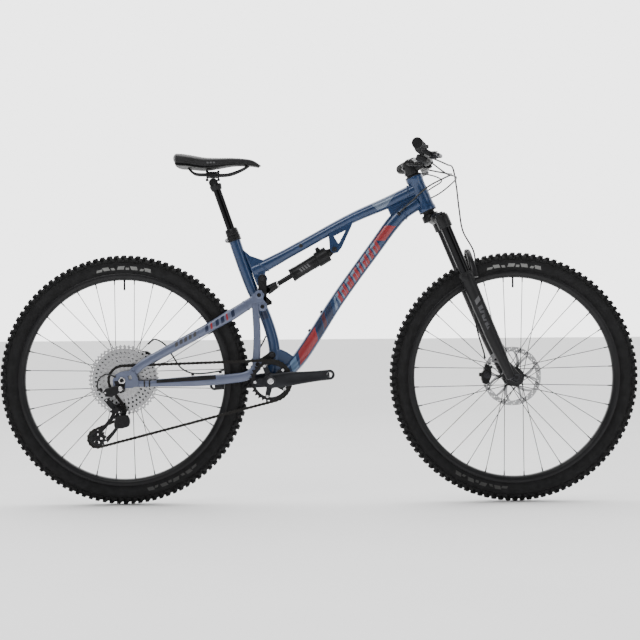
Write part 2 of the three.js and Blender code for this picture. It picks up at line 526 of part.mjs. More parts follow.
add("derailleur_cage", join(
  plate(cageOutline, CHAIN_Y - 5.4, CHAIN_Y - 3.8), plate(cageOutline, CHAIN_Y + 3.8, CHAIN_Y + 5.4),
  pulleyPin(GUIDE), pulleyPin(TENSION), pin([-592, 246], CHAIN_Y - 5, CHAIN_Y + 5, 3, 8)), BLACK_METAL);
const pulley = (centre, r, half) => cut(pin(centre, CHAIN_Y - half, CHAIN_Y + half, r, 16),
  pin(centre, CHAIN_Y - 4, CHAIN_Y + 4, 3 + GAP, 12));
add("pulley_upper", pulley(GUIDE, GUIDE_R - CHAIN_IN - 0.6, 1.2), PLASTIC);
add("pulley_lower", pulley(TENSION, TENSION_R + 1.4, 1), PLASTIC);

// ---- Fork ----
const forkPoint = (along, y = 0, forward = 0) => headPoint(along, y, forward);
const forkForward = new THREE.Vector3(headAxis.z, 0, -headAxis.x);
const axleAlong = at(FRONT).sub(at(HEAD_LOW)).dot(headAxis);
const axleForward = at(FRONT).sub(at(HEAD_LOW)).dot(forkForward);
const CROWN_ALONG = -38;
const LOWERS_TOP = axleAlong + 337;
const ARCH_ALONG = axleAlong + 362;
const LEG_FORWARD = axleForward - 18;
const crownLeg = (side) => rod(forkPoint(CROWN_ALONG - 32, side * LEG_Y, LEG_FORWARD),
  forkPoint(CROWN_ALONG + 8, side * LEG_Y, LEG_FORWARD), 21, 20, 12);
const crownBeam = sweep([[...forkPoint(CROWN_ALONG, -LEG_Y, LEG_FORWARD)],
  [...forkPoint(CROWN_ALONG + 8, -30, LEG_FORWARD - 12)], [...forkPoint(CROWN_ALONG + 8, 30, LEG_FORWARD - 12)],
  [...forkPoint(CROWN_ALONG, LEG_Y, LEG_FORWARD)]], [15, 17, 17, 15], [17, 16, 16, 17], 6, 4);
const crownRace = rod(forkPoint(CROWN_ALONG), forkPoint(-GAP), 27, 26, 12);
const steerer = rod(forkPoint(CROWN_ALONG), forkPoint(HEAD_LENGTH + 50), 18, 14.3, 12);
const stanchionHole = (side, extra) => rod(forkPoint(CROWN_ALONG - 40, side * LEG_Y, LEG_FORWARD),
  forkPoint(CROWN_ALONG + 20, side * LEG_Y, LEG_FORWARD), STANCHION_R + extra, STANCHION_R + extra, 12);
add("fork_crown", cut(join(crownLeg(-1), crownLeg(1), crownBeam, crownRace, steerer),
  stanchionHole(-1, GAP), stanchionHole(1, GAP)), BLACK_METAL);
for (const side of [-1, 1]) {
  add(side < 0 ? "stanchion_right" : "stanchion_left",
    rod(forkPoint(axleAlong + 300, side * LEG_Y, LEG_FORWARD), forkPoint(CROWN_ALONG + 12, side * LEG_Y, LEG_FORWARD),
      STANCHION_R, STANCHION_R, 12), STEEL);
}
// One-piece lowers: two hollow legs, the brace in front of them, dropouts behind the axle
const lowerLeg = (side) => join(
  rod(forkPoint(axleAlong + 10, side * (LEG_Y + 3), LEG_FORWARD + 3), forkPoint(axleAlong + 140, side * LEG_Y, LEG_FORWARD),
    13, 20, 12),
  rod(forkPoint(axleAlong + 140, side * LEG_Y, LEG_FORWARD), forkPoint(LOWERS_TOP, side * LEG_Y, LEG_FORWARD), 20, 20.5, 12),
  sweep([[...forkPoint(axleAlong + 40, side * (LEG_Y + 2), LEG_FORWARD + 4)],
    [...forkPoint(axleAlong, side * (FRONT_HUB_HALF + 7), axleForward)]], 6.4, [14, 15], 8, 1, true),
  pin(FRONT, side * (FRONT_HUB_HALF + GAP), side * (FRONT_HUB_HALF + 14), 15, 16));
const lowerLegRoom = (side) => join(
  rod(forkPoint(axleAlong + 5, side * (LEG_Y + 3), LEG_FORWARD + 3),
    forkPoint(axleAlong + 140, side * LEG_Y, LEG_FORWARD), 14, 20.6, 12),
  sweep([[...forkPoint(axleAlong + 44, side * (LEG_Y + 2), LEG_FORWARD + 4)],
    [...forkPoint(axleAlong, side * (FRONT_HUB_HALF + 7), axleForward)]], 7, [15, 16], 8, 1, true));
const legBore = (side) => rod(forkPoint(axleAlong + 165, side * LEG_Y, LEG_FORWARD),
  forkPoint(LOWERS_TOP + 40, side * LEG_Y, LEG_FORWARD), STANCHION_R + GAP, STANCHION_R + GAP, 12);
const arch = sweep([[...forkPoint(LOWERS_TOP - 14, -LEG_Y, LEG_FORWARD + 20)],
  [...forkPoint(ARCH_ALONG + 10, -48, LEG_FORWARD + 32)], [...forkPoint(ARCH_ALONG + 38, 0, LEG_FORWARD + 36)],
  [...forkPoint(ARCH_ALONG + 10, 48, LEG_FORWARD + 32)], [...forkPoint(LOWERS_TOP - 14, LEG_Y, LEG_FORWARD + 20)]],
  [9, 8, 8, 8, 9], [14, 11, 11, 11, 14], 6, 6);
const throughAxle = pin(FRONT, -FRONT_HUB_HALF - 17, FRONT_HUB_HALF + 17, 7.2, 12);
add("fork_lowers", cut(join(lowerLeg(-1), lowerLeg(1), arch, throughAxle), legBore(-1), legBore(1)), BLACK_METAL);
// Caliper on the left leg's rear face, over the rotor's trailing edge
const FRONT_ROTOR_Y = ROTOR_Y - 12;
const frontCaliper = plate([[502, 412], [498, 392], [490, 384], [494, 352], [510, 350], [520, 372], [520, 398]],
  FRONT_ROTOR_Y - 15, FRONT_ROTOR_Y + 15);
add("front_brake_caliper", cut(frontCaliper,
  pin(FRONT, FRONT_ROTOR_Y - 2.5, FRONT_ROTOR_Y + 2.5, ROTOR_R + 3, 30),
  join(lowerLegRoom(1))), BLACK_METAL);

// ---- Cockpit ----
const BAR_R = 15.9;
const barPoint = (y, dx = 0, dz = 0) => [BAR_CLAMP[0] + dx, y, BAR_CLAMP[1] + dz];
const BAR_BEND = 160;
// The outer bar runs straight, swept back and slightly down, from the bend to the end
const barAt = (y) => {
  const t = (Math.abs(y) - BAR_BEND) / (BAR_HALF - BAR_BEND);
  return barPoint(y, -19 - 31 * t, 18 - 3 * t);
};
const onBar = (y) => new THREE.Vector3(...barAt(y));
const barSide = (side) => [24, 60, 110].map((y) => barPoint(side * y, y > 100 ? -8 : 0, y > 100 ? 12 : 0))
  .concat([BAR_BEND, 180, 240, 310, BAR_HALF].map((y) => barAt(side * y)));
const BAR = [...barSide(-1).reverse(), ...barSide(1)];
const BAR_RADII = [11.1, 11.1, 11.1, 11.1, BAR_R, BAR_R, BAR_R, 11.1, 11.1, 11.1, 11.1];
add("handlebar", sweep(BAR, BAR_RADII, BAR_RADII, 8, 24), BLACK_METAL);

const stemStart = forkPoint(HEAD_LENGTH + 25);
const stemBody = join(
  rod(forkPoint(HEAD_LENGTH + 6), forkPoint(HEAD_LENGTH + 46), 20, 20, 16),
  sweep([[...stemStart], [...barPoint(0)]], [18, 22], [18, 15], 10, 1, true),
  pin(BAR_CLAMP, -24, 24, 21, 16));
add("stem", cut(stemBody, rod(forkPoint(HEAD_LENGTH), forkPoint(HEAD_LENGTH + 60), 18 + GAP, 14.8 + GAP, 16),
  pin(BAR_CLAMP, -30, 30, BAR_R + GAP, 16)), BLACK_METAL);
const grip = (side) => cut(
  join(rod(onBar(side * 250), onBar(side * (BAR_HALF + 6)), 15.5, 16, 12),
    rod(onBar(side * 246), onBar(side * 252), 18, 18, 12)),
  rod(onBar(side * 240), onBar(side * (BAR_HALF + 3)), 12.6, 12.6, 10));

// Brake master: clamp, cylinder along the bar and lever blade reaching outwards
function master(side, extra) {
  const clamp = cut(rod(onBar(side * 196), onBar(side * 212), 16, 16, 12));
  const root = onBar(side * 204).add(new THREE.Vector3(12, 0, -8));
  const cylinder = rod(root.clone().add(new THREE.Vector3(20, side * -34, -8)),
    root.clone().add(new THREE.Vector3(24, side * 14, -12)), 11, 11, 10);
  const neck = rod(root, root.clone().add(new THREE.Vector3(20, side * -8, -9)), 9, 9, 8);
  return cut(join(clamp, cylinder, neck, ...extra),
    rod(onBar(side * 164), onBar(side * 240), 12.6, 12.6, 10));
}
const podRoot = onBar(-190).add(new THREE.Vector3(-2, 0, -28));
const shifterPod = [block(podRoot.x, podRoot.y, podRoot.z, 34, 26, 18, 0.4),
  rod(podRoot, onBar(-198).add(new THREE.Vector3(0, 0, -12)), 8, 8, 8)];
const DROPPER_PIVOT = onBar(188).add(new THREE.Vector3(-4, 0, -29));
const dropperMount = [rod(onBar(180), onBar(190), 15, 15, 12), rod(onBar(186), onBar(200), 13.5, 13.5, 10),
  rod(onBar(186), DROPPER_PIVOT.clone().add(new THREE.Vector3(0, 0, 5)), 8, 5, 8)];
const LEVER_PIVOT_DY = 20;
const leverPivot = (side) => onBar(side * (204 + LEVER_PIVOT_DY)).add(new THREE.Vector3(40, 0, -24));
function brakeLever(side) {
  const pivot = leverPivot(side);
  return join(
    rod(pivot.clone().add(new THREE.Vector3(0, 0, -6)), pivot.clone().add(new THREE.Vector3(0, 0, 6)), 6, 6, 10),
    sweep([[...pivot], [pivot.x + 14, pivot.y + side * 24, pivot.z - 2],
      [pivot.x + 8, pivot.y + side * 56, pivot.z - 3], [pivot.x - 4, pivot.y + side * 96, pivot.z - 4]],
      [5, 5, 5, 5], [5, 5, 6, 6], 6, 6));
}
for (const [side, label, extra] of [[-1, "right", shifterPod], [1, "left", dropperMount]]) {
  add(`grip_${label}`, grip(side), RUBBER);
  add(`brake_master_${label}`, master(side, extra), BLACK_METAL);
  add(`brake_lever_${label}`, brakeLever(side), DARK_ALLOY);
}
const paddle = (root, side) => join(
  rod(root.clone().add(new THREE.Vector3(0, 0, -4)), root.clone().add(new THREE.Vector3(0, 0, 4)), 6, 6, 10),
  sweep([[...root], [root.x - 18, root.y + side * 10, root.z - 3], [root.x - 40, root.y + side * 24, root.z - 2]],
    [4, 7, 9], [3, 3, 3], 6, 3));
const SHIFT_PIVOT = podRoot.clone().add(new THREE.Vector3(-3, 0, -15.5));
add("shift_lever", paddle(SHIFT_PIVOT, -1), PLASTIC);
add("dropper_lever", paddle(DROPPER_PIVOT, 1), PLASTIC);

// ---- Saddle and inner post ----
const POST_TOP = 178;
const saddleClamp = [postPoint(POST_TOP).x, postPoint(POST_TOP).z];
const innerPost = join(
  rod(postPoint(-30), postPoint(POST_TOP - 12), 12.3, 12.3, 14),
  rod(postPoint(POST_TOP - 18), postPoint(POST_TOP - 4), 15, 19, 12),
  pin([saddleClamp[0] - 4, saddleClamp[1] + 3], -27, 27, 17, 14));
const RAIL_Y = 22;
const railLine = (side, r) => sweep([[-392, side * 18, 1012], [-370, side * RAIL_Y, 988],
  [-330, side * RAIL_Y, 985], [-270, side * RAIL_Y, 984], [-225, side * 14, 1000], [-196, side * 6, 1019]], r, r, 5, 8);
const railRoom = [-1, 1].map((side) => railLine(side, 3.5 + GAP));
add("dropper_inner", cut(innerPost, ...railRoom), BLACK_METAL);
const railTie = (x, z, half, r = 3.5) => rod(new THREE.Vector3(x, -half, z), new THREE.Vector3(x, half, z), r, r, 6);
const tieRoom = [railTie(-197, 1018, 8.4, 4), railTie(-391, 1011, 20.4, 4)];
add("saddle_rails", join(railLine(-1, 3.5), railLine(1, 3.5), railTie(-197, 1018, 8), railTie(-391, 1011, 20)), STEEL);

// Saddle: half-widths, top and underside heights along its length
const SADDLE = [[-433, 46, 1046, 1020], [-420, 66, 1047, 1008], [-385, 70, 1042, 1004], [-340, 56, 1035, 999],
  [-300, 40, 1034, 1003], [-250, 27, 1034, 1010], [-200, 21, 1029, 1009], [-172, 12, 1015, 1004]];
function saddleShell() {
  const curve = new THREE.LineCurve3(new THREE.Vector3(0, 0, 0), new THREE.Vector3(1, 0, 0));
  const sides = 12;
  const ring = Array.from({ length: sides }, (_, i) => new THREE.Vector2(
    Math.cos(2 * Math.PI * i / sides), Math.sin(2 * Math.PI * i / sides)));
  const geometry = new THREE.ExtrudeGeometry(new THREE.Shape(ring), {
    depth: SADDLE.length - 1, steps: SADDLE.length - 1, bevelEnabled: false });
  const position = geometry.attributes.position;
  for (let i = 0; i < position.count; i += 1) {
    const [x, half, high, low] = SADDLE[Math.round(position.getZ(i))];
    const crown = Math.max(-1, Math.min(1, 1.25 * position.getY(i)));
    position.setXYZ(i, x, half * position.getX(i), (high + low) / 2 + crown * (high - low) / 2);
  }
  geometry.scale(1, -1, 1);
  const index = [...Array(position.count).keys()];
  for (let i = 0; i < index.length; i += 3) [index[i], index[i + 1]] = [index[i + 1], index[i]];
  geometry.setIndex(index);
  return solid(geometry);
}
add("saddle_cover", cut(saddleShell(), ...railRoom, ...tieRoom), PLASTIC);

// ---- Hoses and housings ----
const HOSE_R = 2.5;
const hose = (points, r = HOSE_R) => sweep(points, r, r, 5, points.length * 2);
const masterEnd = (side) => leverPivot(side).add(new THREE.Vector3(-14, side * -46, 14));
add("front_brake_hose", hose([[...masterEnd(-1).add(new THREE.Vector3(8, 10, -12))], [380, -90, 1002],
  [402, -30, 998], [417, 20, 950], [427, 40, 880], [438, 42, 814], [470, 36, 750], [474, 38, 700], [463, 41, 640],
  [478, 42, 520],
  [500, 41, 440], [502, 42, 426]]), RUBBER);
add("rear_brake_hose_front", hose([[...masterEnd(1).add(new THREE.Vector3(8, -10, -12))], [396, 90, 992],
  [404, 30, 984], [376, -20, 968], [328, -34, 942], [285, -32, 905], [243, -26.5, 866]]), RUBBER);
add("shift_housing_front", hose([[podRoot.x + 18, -176, podRoot.z], [376, -120, 972], [410, -55, 968],
  [400, 12, 952], [366, 36, 926], [322, 38, 904], [285, 33, 882], [250, 26.5, 856]], 2.2), RUBBER);
add("dropper_housing", hose([[DROPPER_PIVOT.x + 2, 172, DROPPER_PIVOT.z - 2], [362, 110, 985], [376, 60, 966],
  [345, 36, 944], [312, 34, 922], [285, 31, 901], [264, 27, 885]], 2.2), RUBBER);
add("rear_brake_hose_rear", hose([[-160, 22, 500], [-176, 40.5, 470], [-214, 50, 420], [-300, 57, 395],
  [-385, 68, 388], [-420, 74, 404], [-446, 80, 440], [-470, 78, 476], [-500, 66, 492], [-519, 57, 478]]), RUBBER);
add("shift_housing_rear", hose([[-600, -86, 384], [-628, -88, 392], [-650, -92, 376], [-652, -96, 352],
  [-639, -96, 340]], 2.2), RUBBER);

export default bike;
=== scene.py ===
"""Visual model of a full-suspension mountain bike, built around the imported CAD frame.

Lengths in the builders below are millimetres, in the CAD's own frame: +X forward, +Z up, the drive side
at -Y."""

import math

import bmesh
import bpy
from mathutils import Matrix, Vector
from mathutils.geometry import tessellate_polygon


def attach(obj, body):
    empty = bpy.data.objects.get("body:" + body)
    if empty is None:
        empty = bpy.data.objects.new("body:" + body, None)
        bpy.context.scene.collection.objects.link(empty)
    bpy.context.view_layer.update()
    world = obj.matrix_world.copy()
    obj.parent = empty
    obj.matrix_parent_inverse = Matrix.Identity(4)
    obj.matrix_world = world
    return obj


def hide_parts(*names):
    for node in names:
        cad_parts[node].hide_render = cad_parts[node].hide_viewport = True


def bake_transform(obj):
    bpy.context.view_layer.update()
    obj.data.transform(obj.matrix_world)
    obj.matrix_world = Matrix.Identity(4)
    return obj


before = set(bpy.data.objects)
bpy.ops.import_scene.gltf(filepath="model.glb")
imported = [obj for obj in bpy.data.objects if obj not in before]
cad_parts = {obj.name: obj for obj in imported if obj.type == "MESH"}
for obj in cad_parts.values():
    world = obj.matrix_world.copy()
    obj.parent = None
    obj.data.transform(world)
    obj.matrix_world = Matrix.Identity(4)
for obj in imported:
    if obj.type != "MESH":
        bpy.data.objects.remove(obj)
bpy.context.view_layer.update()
MM = 0.001
TURN = 2 * math.pi
X_AXIS, Y_AXIS, Z_AXIS = AXES = (Vector((1, 0, 0)), Vector((0, 1, 0)), Vector((0, 0, 1)))
SIDES = ((-1, "right"), (1, "left"))
BEVEL_FROM = math.radians(32)

# Driving dimensions, shared with the CAD
WHEEL_R = 373
RIM_OUTER_R = 318
RIM_INNER_R = 297
SPOKES = 32
ROTOR_R = 90
PITCH = 12.7
CHAIN_Y = -55
BAR_HALF = 380
CRANK = 175
CRANK_RISE = math.radians(5.7)
RING_TEETH = 30
DRIVE_TEETH = 21
GUIDE_TEETH = 11
TENSION_TEETH = 13
COGS = [51, 45, 39, 33, 28, 24, 21, 18, 15, 13, 11]
COG_SPACING = 3.7

# Centres as (x, z) in the bike's mid-plane
REAR = (-582.5, 373)
FRONT = (582.5, 373)
BB = (-144.5, 368)
LINK_LOWER_FRAME = (-141.7, 443.1)
LINK_LOWER_REAR = (-183.9, 416.8)
LINK_UPPER_FRAME = (-168.5, 671.6)
LINK_UPPER_REAR = (-168.5, 588.3)
SHOCK_REAR = (-178.4, 622.8)
SHOCK_FRONT = (48, 758.2)
HEAD_LOW = Vector((329.4, 0, 873))
HEAD_TOP = Vector((287, 0, 974.7))
BAR_CLAMP = (322.7, 1019)
SEAT_COLLAR = Vector((-251, 0, 789))
GUIDE = (-598, 280)
TENSION = (-660, 201)

HEAD_AXIS = (HEAD_TOP - HEAD_LOW).normalized()
HEAD_FORWARD = Vector((HEAD_AXIS.z, 0, -HEAD_AXIS.x))
POST_DIR = Vector((-51.7, 0, 149.5)).normalized()


def tooth_radius(teeth):
    return PITCH / (2 * math.sin(math.pi / teeth))


def at(centre, y=0.0):
    return Vector((centre[0], y, centre[1]))


def polar(centre, r, turn):
    return (centre[0] + r * math.cos(turn), centre[1] + r * math.sin(turn))


def head_point(along, y=0.0, forward=0.0):
    return HEAD_LOW + HEAD_AXIS * along + HEAD_FORWARD * forward + Vector((0, y, 0))


def post_point(along):
    return SEAT_COLLAR + POST_DIR * along


def lerp(a, b, t):
    return a + (b - a) * t


def signed_power(value, power):
    return math.copysign(abs(value) ** power, value)


def ring_points(centre, u, v, r, sides):
    """Circle of points about a centre, in the plane of two unit axes."""
    return [centre + (u * math.cos(TURN * j / sides) + v * math.sin(TURN * j / sides)) * r
            for j in range(sides)]


def both_flanks(low, high):
    """Angles round a tube, in degrees, for the same band on the drive side and on the far side."""
    return [(math.radians(a), math.radians(b)) for a, b in ((low, high), (180 - low, 180 - high))]


def sample(values, t):
    """A value from an evenly spaced list, by a fraction from 0 to 1."""
    if isinstance(values, (int, float)):
        return values
    place = min(max(t, 0.0), 1.0) * (len(values) - 1)
    low = min(int(place), len(values) - 2)
    return lerp(values[low], values[low + 1], place - low)


def curve_points(points, steps):
    """Points evenly spaced along a centripetal Catmull-Rom curve through the given ones."""
    knots = [Vector(p) for p in points]
    if len(knots) == 2:
        return [knots[0].lerp(knots[1], i / steps) for i in range(steps + 1)]
    ends = [2 * knots[0] - knots[1]] + knots + [2 * knots[-1] - knots[-2]]
    fine = []
    per_span = 24
    for a, b, c, d in zip(ends, ends[1:], ends[2:], ends[3:]):
        t1 = max((b - a).length, 1e-6) ** 0.5
        t2 = t1 + max((c - b).length, 1e-6) ** 0.5
        t3 = t2 + max((d - c).length, 1e-6) ** 0.5
        for k in range(per_span):
            t = lerp(t1, t2, k / per_span)
            ab = a.lerp(b, t / t1)
            bc = b.lerp(c, (t - t1) / (t2 - t1))
            cd = c.lerp(d, (t - t2) / (t3 - t2))
            fine.append(ab.lerp(bc, t / t2).lerp(bc.lerp(cd, (t - t1) / (t3 - t1)), (t - t1) / (t2 - t1)))
    fine.append(knots[-1])
    lengths = [0.0]
    for a, b in zip(fine, fine[1:]):
        lengths.append(lengths[-1] + (b - a).length)
    out, k = [], 0
    for i in range(steps + 1):
        goal = lengths[-1] * i / steps
        while k < len(fine) - 2 and lengths[k + 1] < goal:
            k += 1
        span = max(lengths[k + 1] - lengths[k], 1e-9)
        out.append(fine[k].lerp(fine[k + 1], min(max((goal - lengths[k]) / span, 0.0), 1.0)))
    return out


def squared_up(spine, i, up):
    """The curve's direction at one of its points, and the up direction turned square to it."""
    tangent = (spine[min(i + 1, len(spine) - 1)] - spine[max(i - 1, 0)]).normalized()
    return tangent, (up - tangent * up.dot(tangent)).normalized()


class Tube:
    """A tube's surface, by a fraction along it and an angle round it: 0 is +Y, 90 degrees is the curve's
    upper side."""

    def __init__(self, points, across, in_plane, steps=48, power=1.0):
        self.spine = curve_points(points, steps)
        self.steps = steps
        self.across = across
        self.in_plane = in_plane
        self.power = power

    def frame_at(self, t):
        place = min(max(t, 0.0), 1.0) * self.steps
        k = min(int(place), self.steps - 1)
        centre = self.spine[k].lerp(self.spine[k + 1], place - k)
        before = self.spine[max(k - 1, 0)]
        after = self.spine[min(k + 2, self.steps)]
        tangent = (after - before).normalized()
        side = Y_AXIS
        if abs(tangent.y) > 0.9:
            side = Z_AXIS
        side = (side - tangent * side.dot(tangent)).normalized()
        return centre, tangent, side, tangent.cross(side)

    def point(self, t, angle, lift=0.0):
        centre, _, side, up = self.frame_at(t)
        c, s = signed_power(math.cos(angle), self.power), signed_power(math.sin(angle), self.power)
        return (centre + side * (c * (sample(self.across, t) + lift))
                + up * (s * (sample(self.in_plane, t) + lift)))


class Piece:
    """Collects solids into one mesh, then makes the object."""

    def __init__(self):
        self.verts = []
        self.faces = []

    def add(self, verts, faces):
        base = len(self.verts)
        self.verts += [Vector(v) for v in verts]
        self.faces += [[base + i for i in f] for f in faces]
        return self

    def rings(self, rings, cap=True, loop=False):
        """Skins equal rings of points one after the other."""
        n = len(rings[0])
        verts = [p for ring in rings for p in ring]
        count = len(rings)
        faces = []
        for i in range(count if loop else count - 1):
            a, b = i * n, ((i + 1) % count) * n
            faces += [[a + j, a + (j + 1) % n, b + (j + 1) % n, b + j] for j in range(n)]
        if cap and not loop:
            faces += [list(range(n))[::-1], [(count - 1) * n + j for j in range(n)]]
        return self.add(verts, faces)

    def skin(self, tube, sides=28, t0=0.0, t1=1.0, steps=None):
        steps = steps or tube.steps
        return self.rings([[tube.point(lerp(t0, t1, i / steps), TURN * j / sides)
                            for j in range(sides)] for i in range(steps + 1)])

    def rod(self, a, b, r0, r1=None, sides=24, chamfer=0.0):
        """Round bar between two points, with chamfered ends."""
        r1 = r0 if r1 is None else r1
        a, b = Vector(a), Vector(b)
        length = (b - a).length
        stations = [(0, r0), (length, r1)]
        if chamfer:
            stations = [(0, r0 - chamfer), (chamfer, r0), (length - chamfer, r1), (length, r1 - chamfer)]
        return self.spin(a, b - a, [(r, along) for along, r in stations], sides)

    def spin(self, origin, axis, profile, sides=32, loop=False):
        """Revolves (radius, along) stations about a line; loop joins the last station to the first."""
        axis = Vector(axis).normalized()
        u = axis.orthogonal().normalized()
        v = axis.cross(u)
        origin = Vector(origin)
        rings = [ring_points(origin + axis * along, u, v, r, sides) for r, along in profile]
        return self.rings(rings, cap=not loop, loop=loop)

    def lathe(self, centre, profile, sides=64, loop=True):
        """Revolves (radius, y) about the Y line through a point of the mid-plane."""
        return self.spin(at(centre), Y_AXIS, profile, sides, loop)

    def prism(self, outline, y0, y1, holes=()):
        """Outline in the mid-plane extruded from y0 to y1, with any through holes."""
        loops = [list(outline)] + [list(h) for h in holes]
        flat = [p for loop in loops for p in loop]
        triangles = tessellate_polygon([[Vector((x, z, 0)) for x, z in loop] for loop in loops])
        n = len(flat)
        verts = [Vector((x, y0, z)) for x, z in flat] + [Vector((x, y1, z)) for x, z in flat]
        if holes:
            faces = [list(t) for t in triangles] + [[n + i for i in t][::-1] for t in triangles]
        else:
            faces = [list(range(n)), [n + i for i in range(n)][::-1]]
        start = 0
        for loop in loops:
            m = len(loop)
            faces += [[start + i, start + (i + 1) % m, n + start + (i + 1) % m, n + start + i]
                      for i in range(m)]
            start += m
        return self.add(verts, faces)

    def box(self, centre, size, axes=None):
        """Box by centre and size, on three given unit axes."""
        x, y, z = axes or AXES
        corners = [Vector(centre) + x * (size[0] / 2 * i) + y * (size[1] / 2 * j) + z * (size[2] / 2 * k)
                   for i in (-1, 1) for j in (-1, 1) for k in (-1, 1)]
        return self.add(corners, [[0, 1, 3, 2], [4, 6, 7, 5], [0, 4, 5, 1], [2, 3, 7, 6], [0, 2, 6, 4],
                                  [1, 5, 7, 3]])

    def bolt(self, centre, y, side, r, depth=3.0, socket=True):
        """Round bolt head facing +Y or -Y, with a hexagonal socket."""
        top = y + side * depth
        hexa = r * 0.5
        profile = [(r, y), (r, top - side * 0.8), (r - 0.8, top), (hexa, top)]
        if socket:
            profile += [(hexa * 0.9, top - side * depth * 0.6), (0.01, top - side * depth * 0.6)]
        else:
            profile += [(0.01, top)]
        return self.spin(at(centre), Y_AXIS, profile, 24 if r > 5 else 18)

    def patch(self, tube, t0, t1, a0, a1, slant=0.0, lift=0.25, cells=(14, 6), taper=1.0):
        """Thin painted mark that hugs a tube: a slanted band between two fractions and two angles."""
        m, n = cells
        grid = []
        for i in range(m + 1):
            row = []
            for j in range(n + 1):
                v = j / n
                squeeze = lerp(1.0, taper, v)
                middle = (t0 + t1) / 2
                t = middle + (lerp(t0, t1, i / m) - middle) * squeeze + slant * (v - 0.5)
                row.append(tube.point(t, lerp(a0, a1, v), lift))
            grid.append(row)
        verts = [p for row in grid for p in row]
        faces = [[i * (n + 1) + j, (i + 1) * (n + 1) + j, (i + 1) * (n + 1) + j + 1, i * (n + 1) + j + 1]
                 for i in range(m) for j in range(n)]
        return self.add(verts, faces)

    def sheet(self, rows):
        """Open surface through equal rows of points."""
        n = len(rows[0])
        return self.add([p for row in rows for p in row],
                        [[i * n + j, i * n + j + 1, i * n + j + n + 1, i * n + j + n]
                         for i in range(len(rows) - 1) for j in range(n - 1)])

    def finish(self, name, look, body, *nodes, bevel=0.0, segments=2, smooth=40, levels=0, weld=True,
               place=True):
        """The mesh object, riding on a body and standing for any CAD nodes named."""
        mesh = bpy.data.meshes.new(name)
        mesh.from_pydata([v * MM for v in self.verts], [], self.faces)
        bm = bmesh.new()
        bm.from_mesh(mesh)
        if weld:
            bmesh.ops.remove_doubles(bm, verts=bm.verts, dist=1e-6)
        bmesh.ops.recalc_face_normals(bm, faces=bm.faces)
        bm.to_mesh(mesh)
        bm.free()
        mesh.materials.append(look)
        obj = bpy.data.objects.new(name, mesh)
        bpy.context.scene.collection.objects.link(obj)
        if bevel:
            edge = obj.modifiers.new("edge", "BEVEL")
            edge.width = bevel * MM
            edge.segments = segments
            edge.limit_method = "ANGLE"
            edge.angle_limit = BEVEL_FROM
            edge.harden_normals = False
        if levels:
            subdivide = obj.modifiers.new("subdivide", "SUBSURF")
            subdivide.levels = levels
            subdivide.render_levels = levels
        mesh.shade_smooth()
        mesh.set_sharp_from_angle(angle=math.radians(smooth))
        if place:
            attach(obj, body)
        if nodes:
            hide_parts(*nodes)
        return obj


# ---- Looks ----
def shade(colour, factor):
    return tuple(min(c * factor, 1.0) for c in colour)


def look(name, colour, roughness, metallic=0.0, vary=0.12, blotch=60.0, rough_spread=0.08, grain=900.0,
         bump=0.05, stretch=(1, 1, 1), coat=0.0, coat_roughness=0.1, texture="noise", depth=0.0002, fleck=0.0,
         sheen=0.0, specular=0.5):
    """A procedural surface: blotchy colour, uneven roughness and a fine bump, all in object space."""
    material = bpy.data.materials.new(name)
    material.use_nodes = True
    nodes, links = material.node_tree.nodes, material.node_tree.links
    shader = nodes["Principled BSDF"]
    shader.inputs["Metallic"].default_value = metallic
    shader.inputs["Coat Weight"].default_value = coat
    shader.inputs["Coat Roughness"].default_value = coat_roughness
    shader.inputs["Sheen Weight"].default_value = sheen
    shader.inputs["Specular IOR Level"].default_value = specular
    place = nodes.new("ShaderNodeTexCoord")
    mapping = nodes.new("ShaderNodeMapping")
    mapping.inputs["Scale"].default_value = stretch
    links.new(place.outputs["Object"], mapping.inputs["Vector"])

    def noise(scale, detail=3.0):
        node = nodes.new("ShaderNodeTexNoise")
        node.inputs["Scale"].default_value = scale
        node.inputs["Detail"].default_value = detail
        links.new(mapping.outputs["Vector"], node.inputs["Vector"])
        return node

    def ramp(source, low, high, stops=(0.32, 0.68)):
        node = nodes.new("ShaderNodeValToRGB")
        first, second = node.color_ramp.elements
        first.position, second.position = stops
        first.color, second.color = (*low, 1), (*high, 1)
        links.new(source, node.inputs["Fac"])
        return node

    blotches = noise(blotch)
    tint = ramp(blotches.outputs["Fac"], shade(colour, 1 - vary), shade(colour, 1 + vary))
    colour_out = tint.outputs["Color"]
    if fleck:
        flecks = noise(4200, 1.0)
        bright = ramp(flecks.outputs["Fac"], (0, 0, 0), (fleck, fleck, fleck), (0.55, 0.78))
        mix = nodes.new("ShaderNodeMix")
        mix.data_type = "RGBA"
        mix.blend_type = "ADD"
        mix.inputs["Factor"].default_value = 1.0
        links.new(colour_out, mix.inputs["A"])
        links.new(bright.outputs["Color"], mix.inputs["B"])
        colour_out = mix.outputs["Result"]
    links.new(colour_out, shader.inputs["Base Color"])

    uneven = noise(blotch * 2.3)
    spread = nodes.new("ShaderNodeMapRange")
    spread.inputs["To Min"].default_value = max(roughness - rough_spread, 0.02)
    spread.inputs["To Max"].default_value = min(roughness + rough_spread, 1.0)
    links.new(uneven.outputs["Fac"], spread.inputs["Value"])
    links.new(spread.outputs["Result"], shader.inputs["Roughness"])

    if bump:
        if texture == "cells":
            source = nodes.new("ShaderNodeTexVoronoi")
            source.inputs["Scale"].default_value = grain
            links.new(mapping.outputs["Vector"], source.inputs["Vector"])
            height = source.outputs["Distance"]
        else:
            height = noise(grain, 4.0).outputs["Fac"]
        relief = nodes.new("ShaderNodeBump")
        relief.inputs["Strength"].default_value = bump
        relief.inputs["Distance"].default_value = depth
        links.new(height, relief.inputs["Height"])
        links.new(relief.outputs["Normal"], shader.inputs["Normal"])
    return material


